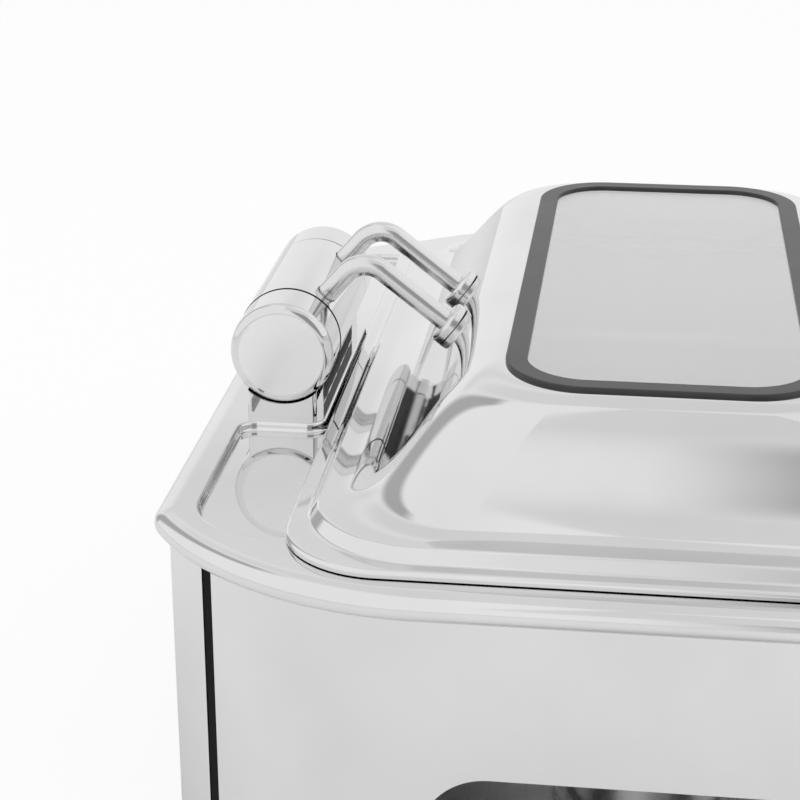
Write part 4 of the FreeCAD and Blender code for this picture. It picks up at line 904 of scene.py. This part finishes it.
@dataclass
class Lid:
    """Drawn lid: hemmed flange, step, S-curved dome and window frame."""

    sheet: float = 1.2
    flange_corner: float = 52.0
    step_foot: float = 9.0
    step_head: float = 14.0
    step_corner: float = 62.0
    step_rise: float = 11.5
    step_round: float = 2.4
    step_steps: int = 8
    hem: float = 3.7
    hem_drop: float = 0.5
    hem_round: float = 2.6
    hem_foot: float = 0.5
    hem_return: float = 2.0
    hem_steps: int = 10
    hem_slack: float = 0.05
    dome_foot: float = 20.0
    dome_corner: float = 56.0
    dome_rows: int = 56
    window_corner: float = 44.0
    frame_lap: float = 5.5
    frame_width: float = 11.5
    frame_round: float = 0.9
    frame_steps: int = 5
    corner_steps: int = 48
    shell: Extent = packed("lid_shell")
    frame: Extent = packed("window_frame")
    deck: Extent = packed("deck_frame")

    def outline(self, half_x: float, half_y: float, corner: float) -> Outline:
        """Return a rounded rectangle about the lid's middle."""
        return Outline.box(half_x, half_y, corner, self.shell.middle.y, self.corner_steps)

    def inset(self, inset: float, corner: float) -> Outline:
        """Return an outline set in from the flange's edge."""
        return self.outline(self.shell.half.x - inset, self.shell.half.y - inset, corner)

    def window(self) -> Outline:
        """Return the outline of the window frame."""
        return self.outline(self.frame.half.x, self.frame.half.y, self.window_corner)

    def corner_at(self, inset: float) -> float:
        """Return the plan radius between the flange's edge and the dome's foot."""
        head_corner = self.step_corner + self.step_foot - self.step_head
        known = (
            (0.0, self.flange_corner), (self.step_foot, self.step_corner),
            (self.step_head, head_corner), (self.dome_foot, self.dome_corner),
        )
        for (a, first), (b, second) in zip(known, known[1:]):
            if inset <= b:
                return first + (second - first) * (inset - a) / (b - a)
        return self.dome_corner

    def flange(self, drop: float = 0.0) -> list[Ring]:
        """Return rings from the flange's flat to the dome's foot.

        Args:
            drop: how far below the outer skin they lie.

        Returns:
            The rings, from the outside in.
        """
        step_top, hem_top = self.deck.high.z + self.step_rise, self.shell.low.z + self.hem
        profile = soft_profile([
            (self.hem_round, hem_top), (self.step_foot, hem_top),
            (self.step_head, step_top), (self.dome_foot, step_top),
        ], [self.step_round] * 2, self.step_steps)
        return [self.inset(inset, self.corner_at(inset)).ring(z - drop) for inset, z in profile]

    def dome(self, drop: float = 0.0) -> list[Ring]:
        """Return rings up the dome's S curve.

        Args:
            drop: how far below the outer skin they lie.

        Returns:
            The rings, from the foot up.
        """
        half = self.shell.half
        foot = Vector((half.x - self.dome_foot, half.y - self.dome_foot, self.dome_corner))
        head = Vector((self.frame.half.x, self.frame.half.y, self.window_corner))
        low = self.deck.high.z + self.step_rise
        rings = []
        for row in range(1, self.dome_rows + 1):
            share = row / self.dome_rows
            height = low + s_curve(share) * (self.shell.high.z - low) - drop
            rings.append(self.outline(*foot.lerp(head, share)).ring(height))
        return rings

    def build_shell(self) -> None:
        """Build the drawn shell, inner and outer skins."""
        under, top = self.shell.low.z, self.shell.high.z
        low, hem_top = under - self.hem_drop, under + self.hem
        edge, opening = self.inset(0.0, self.flange_corner), self.window()
        profile = soft_profile(
            [(self.hem_return, low), (0.0, low), (0.0, hem_top), (self.hem_round, hem_top)],
            [self.hem_foot, self.hem_round - self.hem_slack], self.hem_steps,
        )
        lip = [edge.ring(z, -inset) for inset, z in profile[:-1]]
        outer = lip + self.flange() + self.dome() + [opening.ring(top, -self.frame_lap)]
        inner = self.flange(self.sheet)[1:] + self.dome(self.sheet)
        inner.append(opening.ring(top - self.sheet, -self.frame_lap))
        hollow = self.inset(self.step_foot, self.step_corner).ring(under)
        skin = Skin("lid")
        skin.loft(outer + inner[::-1] + [hollow, edge.ring(under, -self.hem_return)], closed=True)
        skin.piece(MIRROR, "lid", "lid_shell")

    def build_frame(self) -> None:
        """Build the dark frame round the glass."""
        outer = self.window()
        low, high, sheet_top = self.frame.low.z, self.frame.high.z, self.shell.high.z
        seat = [outer.ring(low, -self.frame_lap), outer.ring(sheet_top, -self.frame_lap)]
        seat.append(outer.ring(sheet_top))
        turns = quarter(self.frame_round, self.frame_steps)
        rise = [outer.ring(high - late, -slow) for slow, late in turns]
        fall = [outer.ring(high - slow, late - self.frame_width) for slow, late in turns]
        skin = Skin("window_surround")
        skin.loft(seat + rise + fall + [outer.ring(low, -self.frame_width)], closed=True)
        skin.piece(DARK_MOULDING, "lid", "window_frame")

    def build(self) -> None:
        """Build the lid's pieces."""
        self.build_shell()
        self.build_frame()


@dataclass
class Barrel:
    """Hinge barrel's end caps and left joint ring, and the bracket under it."""

    cap_round: float = 5.4
    cap_inner_round: float = 0.35
    cap_steps: int = 12
    bore: float = 8.0
    ring_lap: float = 0.8
    ring_proud: float = 0.2
    ring_round: float = 0.15
    ring_steps: int = 4
    segments: int = 128
    bracket_bevel: float = 0.5
    shaft: Extent = packed("hinge_shaft")
    cap: Extent = packed("hinge_cap_left")

    def at_end(self, extent: Extent) -> Matrix:
        """Return the place of a turned piece on the barrel.

        Args:
            extent: the box of its node.

        Returns:
            The place, with Z outwards along the axis from the piece's inner end.
        """
        sign, axis = math.copysign(1.0, extent.middle.x), self.shaft.middle
        start = Vector((sign * (abs(extent.middle.x) - extent.half.x), axis.y, axis.z))
        return Matrix.Translation(start) @ Matrix.Rotation(sign * math.pi / 2, 4, "Y")

    def build_ring(self, side: str) -> None:
        """Build a black ring between an end cap and the sleeve, with its lip over the cap's edge."""
        node = "joint_ring_" + side
        extent = Extent.of(node)
        width, outer = 2 * extent.half.x + self.ring_lap, self.cap.half.y + self.ring_proud
        corners = [(self.bore, 0.0), (outer, 0.0), (outer, width), (self.bore, width)]
        skin = Skin("joint_seal_" + side)
        skin.turn(soft_profile(corners, [self.ring_round] * 2, self.ring_steps), self.segments)
        skin.piece(BLACK_MOULDING, "stand", node, place=self.at_end(extent))

    def build_cap(self, side: str) -> None:
        """Build one fixed end cap, whose face is finely brushed."""
        node = "hinge_cap_" + side
        extent = Extent.of(node)
        length, radius = 2 * extent.half.x, self.cap.half.y
        corners = [(self.bore, 0.0), (radius, 0.0), (radius, length), (0.0, length)]
        skin = Skin("end_cap_" + side)
        profile = soft_profile(corners, [self.cap_inner_round, self.cap_round], self.cap_steps)
        skin.turn(profile, self.segments)
        skin.piece(MIRROR, "stand", node, FINE_STEEL, self.at_end(extent))

    def build(self) -> None:
        """Build and dress the hinge; the photograph shows a line at the near joint ring only."""
        for side in SIDES:
            self.build_cap(side)
        self.build_ring("left")
        # the bracket's front and rear faces get black painted shade under the barrel; the rest is plain
        # polished steel
        dress("hinge_bracket", MIRROR, self.bracket_bevel, FLANK_STEEL_WITH_PAINTED_SHADE)


@dataclass
class LidArms:
    """Two bent round arms from the hinge sleeve to the lid, with their collars."""

    radius: float = 6.25
    bend: float = 16.0
    reach: float = 67.7
    sink: float = 2.0
    groove: float = 0.45
    groove_width: float = 0.7
    groove_slope: float = 0.25
    foot_share: float = 0.53
    collar_gap: float = 0.05
    collar_radius: float = 13.2
    collar_height: float = 6.2
    collar_round: float = 2.9
    collar_base: float = 0.15
    collar_foot: float = 0.4
    collar_steps: int = 10
    collar_segments: int = 80
    stud_radius: float = 4.0
    stud_length: float = 13.0
    barrel: Barrel = field(default_factory=Barrel)
    lid: Lid = field(default_factory=Lid)

    def foot(self, share: float, rear: bool) -> tuple[Vector, Vector]:
        """Return a point on the lid's slope, in the plane x = 0, and its normal.

        Args:
            share: how far up the dome, 0 at its foot and 1 at its top.
            rear: whether it is on the rear slope.

        Returns:
            The point and the outward normal.
        """
        lid = self.lid
        sign = 1 if rear else -1
        low = lid.deck.high.z + lid.step_rise
        run, rise = lid.shell.half.y - lid.dome_foot - lid.frame.half.y, lid.shell.high.z - low
        slope = 30 * share**2 * (1 - share) ** 2 * rise / run
        y = lid.shell.middle.y + sign * (lid.shell.half.y - lid.dome_foot - share * run)
        return Vector((0, y, low + s_curve(share) * rise)), Vector((0, sign * slope, 1)).normalized()

    def build_arm(self, side: str, shift: Vector) -> None:
        """Build one arm, with a fine groove where it enters the sleeve.

        Args:
            side: left or right.
            shift: the arm's place along the dish.
        """
        foot, normal = self.foot(self.foot_share, True)
        axis = Vector((0, *self.barrel.shaft.middle.yz))
        knee, drum = foot + normal * self.reach, self.barrel.cap.half.y
        out = (knee - axis).normalized()
        rod = BentRod([axis + shift, knee + shift, foot + shift], self.bend, self.radius)

        def saddle(height: float, radius: float) -> Ring:
            """Return a ring that follows the sleeve's surface at a height over it."""
            ring = rod.section(Vector(), out, ALONG, radius)
            rises = [math.sqrt(drum**2 - spot.cross(out).dot(ALONG) ** 2) + height for spot in ring]
            return [axis + shift + spot + out * rise for spot, rise in zip(ring, rises)]

        neck = self.radius - self.groove
        neck_rings = [
            saddle(-self.sink, neck), saddle(self.groove_width, neck),
            saddle(self.groove_width + self.groove_slope, self.radius),
        ]
        stud = [
            rod.section(foot + shift - normal * depth, -normal, ALONG, self.stud_radius)
            for depth in (0.0, self.stud_length)
        ]
        skin = Skin("lid_arm_" + side)
        skin.tube(neck_rings + rod.rings(ALONG)[1:] + stud)
        skin.piece(ROD_STEEL, "lid", "lid_arm_" + side)

    def build_collar(self, name: str, spot: Vector, normal: Vector) -> None:
        """Build one thick round collar on the lid.

        Args:
            name: the collar's node.
            spot: the point on the lid's slope.
            normal: the slope's normal.
        """
        bore, edge = self.radius + self.collar_gap, self.collar_radius
        low, high = self.collar_base, self.collar_height
        corners = [(bore, low), (edge, low), (edge, high), (bore, high)]
        skin = Skin(name.replace("collar", "ferrule"))
        profile = soft_profile(corners, [self.collar_foot, self.collar_round], self.collar_steps)
        skin.turn(profile, self.collar_segments)
        tilt = Vector((0, 0, 1)).rotation_difference(normal).to_matrix().to_4x4()
        skin.piece(ROD_STEEL, "lid", name, place=Matrix.Translation(spot) @ tilt)

    def build(self) -> None:
        """Build the arms and their collars."""
        foot, normal = self.foot(self.foot_share, True)
        for side in SIDES:
            shift = ALONG * Extent.of("lid_arm_" + side).middle.x
            self.build_arm(side, shift)
            self.build_collar(f"arm_{side}_collar", foot + shift, normal)


@dataclass
class FrontHandle:
    """Bent round handle on the lid's front slope, with its collars."""

    share: float = 0.5
    height: float = 46.0
    arms: LidArms = field(default_factory=LidArms)
    extent: Extent = packed("lid_handle")

    def build(self) -> None:
        """Build the handle and its collars."""
        arms = self.arms
        foot, up = arms.foot(self.share, False)
        half = ALONG * (self.extent.half.x - arms.radius)
        ends, lift = (foot - half, foot + half), up * self.height
        rod = BentRod([ends[0], ends[0] + lift, ends[1] + lift, ends[1]], arms.bend, arms.radius)
        across = up.cross(ALONG).normalized()

        def stud(end: Vector, along: Vector, depths: Sequence[float]) -> list[Ring]:
            """Return rings of a stud under an end of the handle."""
            return [rod.section(end - up * depth, along, across, arms.stud_radius) for depth in depths]

        first = stud(ends[0], up, (arms.stud_length, 0.0))
        skin = Skin("front_handle")
        skin.tube(first + rod.rings(across) + stud(ends[1], -up, (0.0, arms.stud_length)))
        skin.piece(ROD_STEEL, "lid", "lid_handle")
        for side, end in zip(SIDES, ends):
            arms.build_collar(f"handle_{side}_collar", end, up)


@dataclass
class Pan:
    """Deep-drawn pan with a flat flange and round floor edges."""

    node: str
    mouth_half: Point
    mouth_corner: float
    flange_corner: float
    floor_round: float
    sheet: float = 1.0
    lean: float = 6.0
    floor_run: float = 2.0
    floor_steps: int = 10
    corner_steps: int = 24

    def build(self) -> None:
        """Build the pan."""
        extent, sheet = Extent.of(self.node), self.sheet
        top, floor, y = extent.high.z, extent.low.z, extent.middle.y

        def bowl(inset: float, high: float, low: float) -> list[Ring]:
            """Return rings from the mouth down one skin of the pan."""
            edge = self.floor_round - inset
            corners = [(0.0, high), (self.lean, low), (self.lean + edge + self.floor_run, low)]
            rings = []
            for lean, z in soft_profile(corners, [edge], self.floor_steps):
                sizes = [size - inset - lean for size in (*self.mouth_half, self.mouth_corner)]
                rings.append(Outline.box(*sizes, y, self.corner_steps).ring(z))
            return rings

        flange = Outline.box(extent.half.x, extent.half.y, self.flange_corner, y, self.corner_steps)
        outside = bowl(0.0, top - sheet, floor)[::-1] + [flange.ring(top - sheet), flange.ring(top)]
        skin = Skin(self.node + "_drawn")
        first, last = skin.loft(outside + bowl(sheet, top, floor + sheet))
        skin.plate(first, up=False)
        skin.plate(last)
        skin.piece(SATIN, "stand", self.node)


@dataclass(frozen=True)
class Flag:
    """Darker panel of the studio that polished metal mirrors, by its place as seen from the dish."""

    name: str
    azimuth: float
    half_width: float
    low: float
    high: float
    level: float
    edge: float
    fade: float

    def factor(self, graph: Graph, direction: Signal, elevation: Signal) -> Signal:
        """Return the panel's factor on the studio's light.

        Args:
            graph: the world's graph.
            direction: the direction looked in.
            elevation: its elevation in degrees.

        Returns:
            1 beside the panel and its level on it.
        """
        heading = math.radians(self.azimuth)

        def along(x: float, y: float) -> Signal:
            """Return how far the direction goes along a heading."""
            vectors = {0: direction, 1: (x, y, 0.0)}
            return graph.add("ShaderNodeVectorMath", {"operation": "DOT_PRODUCT"}, vectors, "Value")

        aside = along(-math.sin(heading), math.cos(heading))
        ahead = along(math.cos(heading), math.sin(heading))
        swing = graph.maths("ABSOLUTE", graph.maths("ARCTAN2", aside, ahead) * math.degrees(1.0))
        beside = graph.step(swing, self.half_width - self.edge, self.half_width + self.edge)
        edges, fade = (self.low, self.high), self.fade
        over, under = (graph.step(elevation, edge - fade, edge + fade) for edge in edges)
        return 1.0 - (1.0 - beside) * over * (1.0 - under) * (1.0 - self.level)


@dataclass
class Studio:
    """Camera, soft lamps, pale floor and the white surroundings."""

    camera_at: Place = (-1140.4, -14.8, 658.8)
    camera_looks: Place = (0.9234, 0.1161, -0.3657)
    lens: float = 90.0
    film_width: float = 36.0
    nearest: float = 20.0
    floor_half: float = 6000.0
    floor_colour: Colour = (0.90, 0.90, 0.90)
    floor_roughness: float = 0.6
    floor_glow: float = 0.9
    sky_light: float = 0.82
    mirrored_light: float = 0.95
    flags: tuple[Flag, ...] = (
        Flag("rear_strip", 51.0, 8.5, -6.0, 56.0, 0.50, 4.0, 5.0),
        Flag("behind_camera", -143.0, 43.0, 46.0, 130.0, 0.84, 2.0, 9.0),
        Flag("camera_side", -156.0, 19.0, -4.0, 46.0, 0.36, 5.0, 6.0),
        Flag("far_ceiling", 5.0, 34.0, 32.0, 130.0, 0.84, 10.0, 10.0),
        Flag("far_band", 10.0, 28.0, 20.8, 28.0, 0.86, 8.0, 3.2),
    )

    def build_camera(self) -> None:
        """Set the camera where the photograph was taken from."""
        data = bpy.data.cameras.new("camera")
        data.lens = self.lens
        data.sensor_width = self.film_width
        data.clip_start = self.nearest * MM
        camera = new_object("camera", data)
        camera.location = Vector(self.camera_at) * MM
        camera.rotation_euler = Vector(self.camera_looks).to_track_quat("-Z", "Y").to_euler()
        bpy.context.scene.camera = camera

    def build_floor(self) -> None:
        """Lay the pale floor."""
        half = self.floor_half * MM
        spots = [(-half, -half, 0), (half, -half, 0), (half, half, 0), (-half, half, 0)]
        mesh = bpy.data.meshes.new("floor")
        mesh.from_pydata(spots, [], [(0, 1, 2, 3)])
        material, graph = new_material("pale_floor")
        values = {"Base Color": (*self.floor_colour, 1.0), "Roughness": self.floor_roughness}
        matt = graph.add("ShaderNodeBsdfPrincipled", {}, values)
        white = graph.add("ShaderNodeEmission", {}, {"Color": WHITE, "Strength": 1.0})
        surface = graph.blend(graph.ray("Camera") * self.floor_glow, matt, white)
        graph.add("ShaderNodeOutputMaterial", {}, {"Surface": surface})
        mesh.materials.append(material)
        new_object("floor", mesh)

    def build_world(self) -> None:
        """Surround the dish with white, and with studio walls where metal mirrors them."""
        world = bpy.data.worlds.new("studio")
        bpy.context.scene.world = world
        world.use_nodes = True
        graph = Graph(world.node_tree)
        direction = graph.add("ShaderNodeTexCoord", output="Generated")
        height = graph.add("ShaderNodeSeparateXYZ", {}, {0: direction}, "Z")
        elevation = graph.maths("ARCSINE", height) * math.degrees(1.0)
        walls: Value = self.mirrored_light
        for flag in self.flags:
            walls = flag.factor(graph, direction, elevation) * walls
            LOG.info("%s: panel of the studio", flag.name)
        light, mirrored, white = (
            graph.add("ShaderNodeBackground", {}, {"Color": WHITE, "Strength": strength})
            for strength in (self.sky_light, walls, 1.0)
        )
        seen = graph.blend(graph.ray("Camera"), graph.blend(graph.ray("Glossy"), light, mirrored), white)
        graph.add("ShaderNodeOutputWorld", {}, {"Surface": seen})

    def build_lamp(self, name: str, at: Place, size: float, power: float) -> None:
        """Hang one soft lamp that faces the dish.

        Args:
            name: the lamp's name.
            at: its place.
            size: its side.
            power: its power in watts.
        """
        data = bpy.data.lights.new(name, "AREA")
        data.size = size * MM
        data.energy = power
        lamp = new_object(name, data)
        lamp.location = Vector(at) * MM
        lamp.rotation_euler = (-lamp.location).to_track_quat("-Z", "Y").to_euler()
        lamp.visible_glossy = False

    def build(self) -> None:
        """Build the studio."""
        self.build_camera()
        self.build_floor()
        self.build_world()
        self.build_lamp("key_lamp", (-900.0, -1300.0, 1900.0), 1400.0, 9.0)
        self.build_lamp("rear_lamp", (700.0, 1500.0, 1700.0), 1200.0, 5.0)
        bpy.context.scene.view_settings.view_transform = "Standard"


def main() -> None:
    """Build the dish piece by piece, then the studio."""
    logging.basicConfig(level=logging.INFO, format="%(name)s: %(message)s")
    water_pan = Pan("water_pan", (262.0, 159.5), mouth_corner=56.0, flange_corner=30.5, floor_round=12.0)
    food_pan = Pan("food_pan", (253.5, 151.0), mouth_corner=54.0, flange_corner=20.0, floor_round=14.0)
    shaped = (Deck(), water_pan, food_pan, Barrel(), LidArms(), FrontHandle(), Lid())
    for part in (*shaped, *PLAIN_NODES, Studio()):
        part.build()


if __name__ == "__main__":
    main()
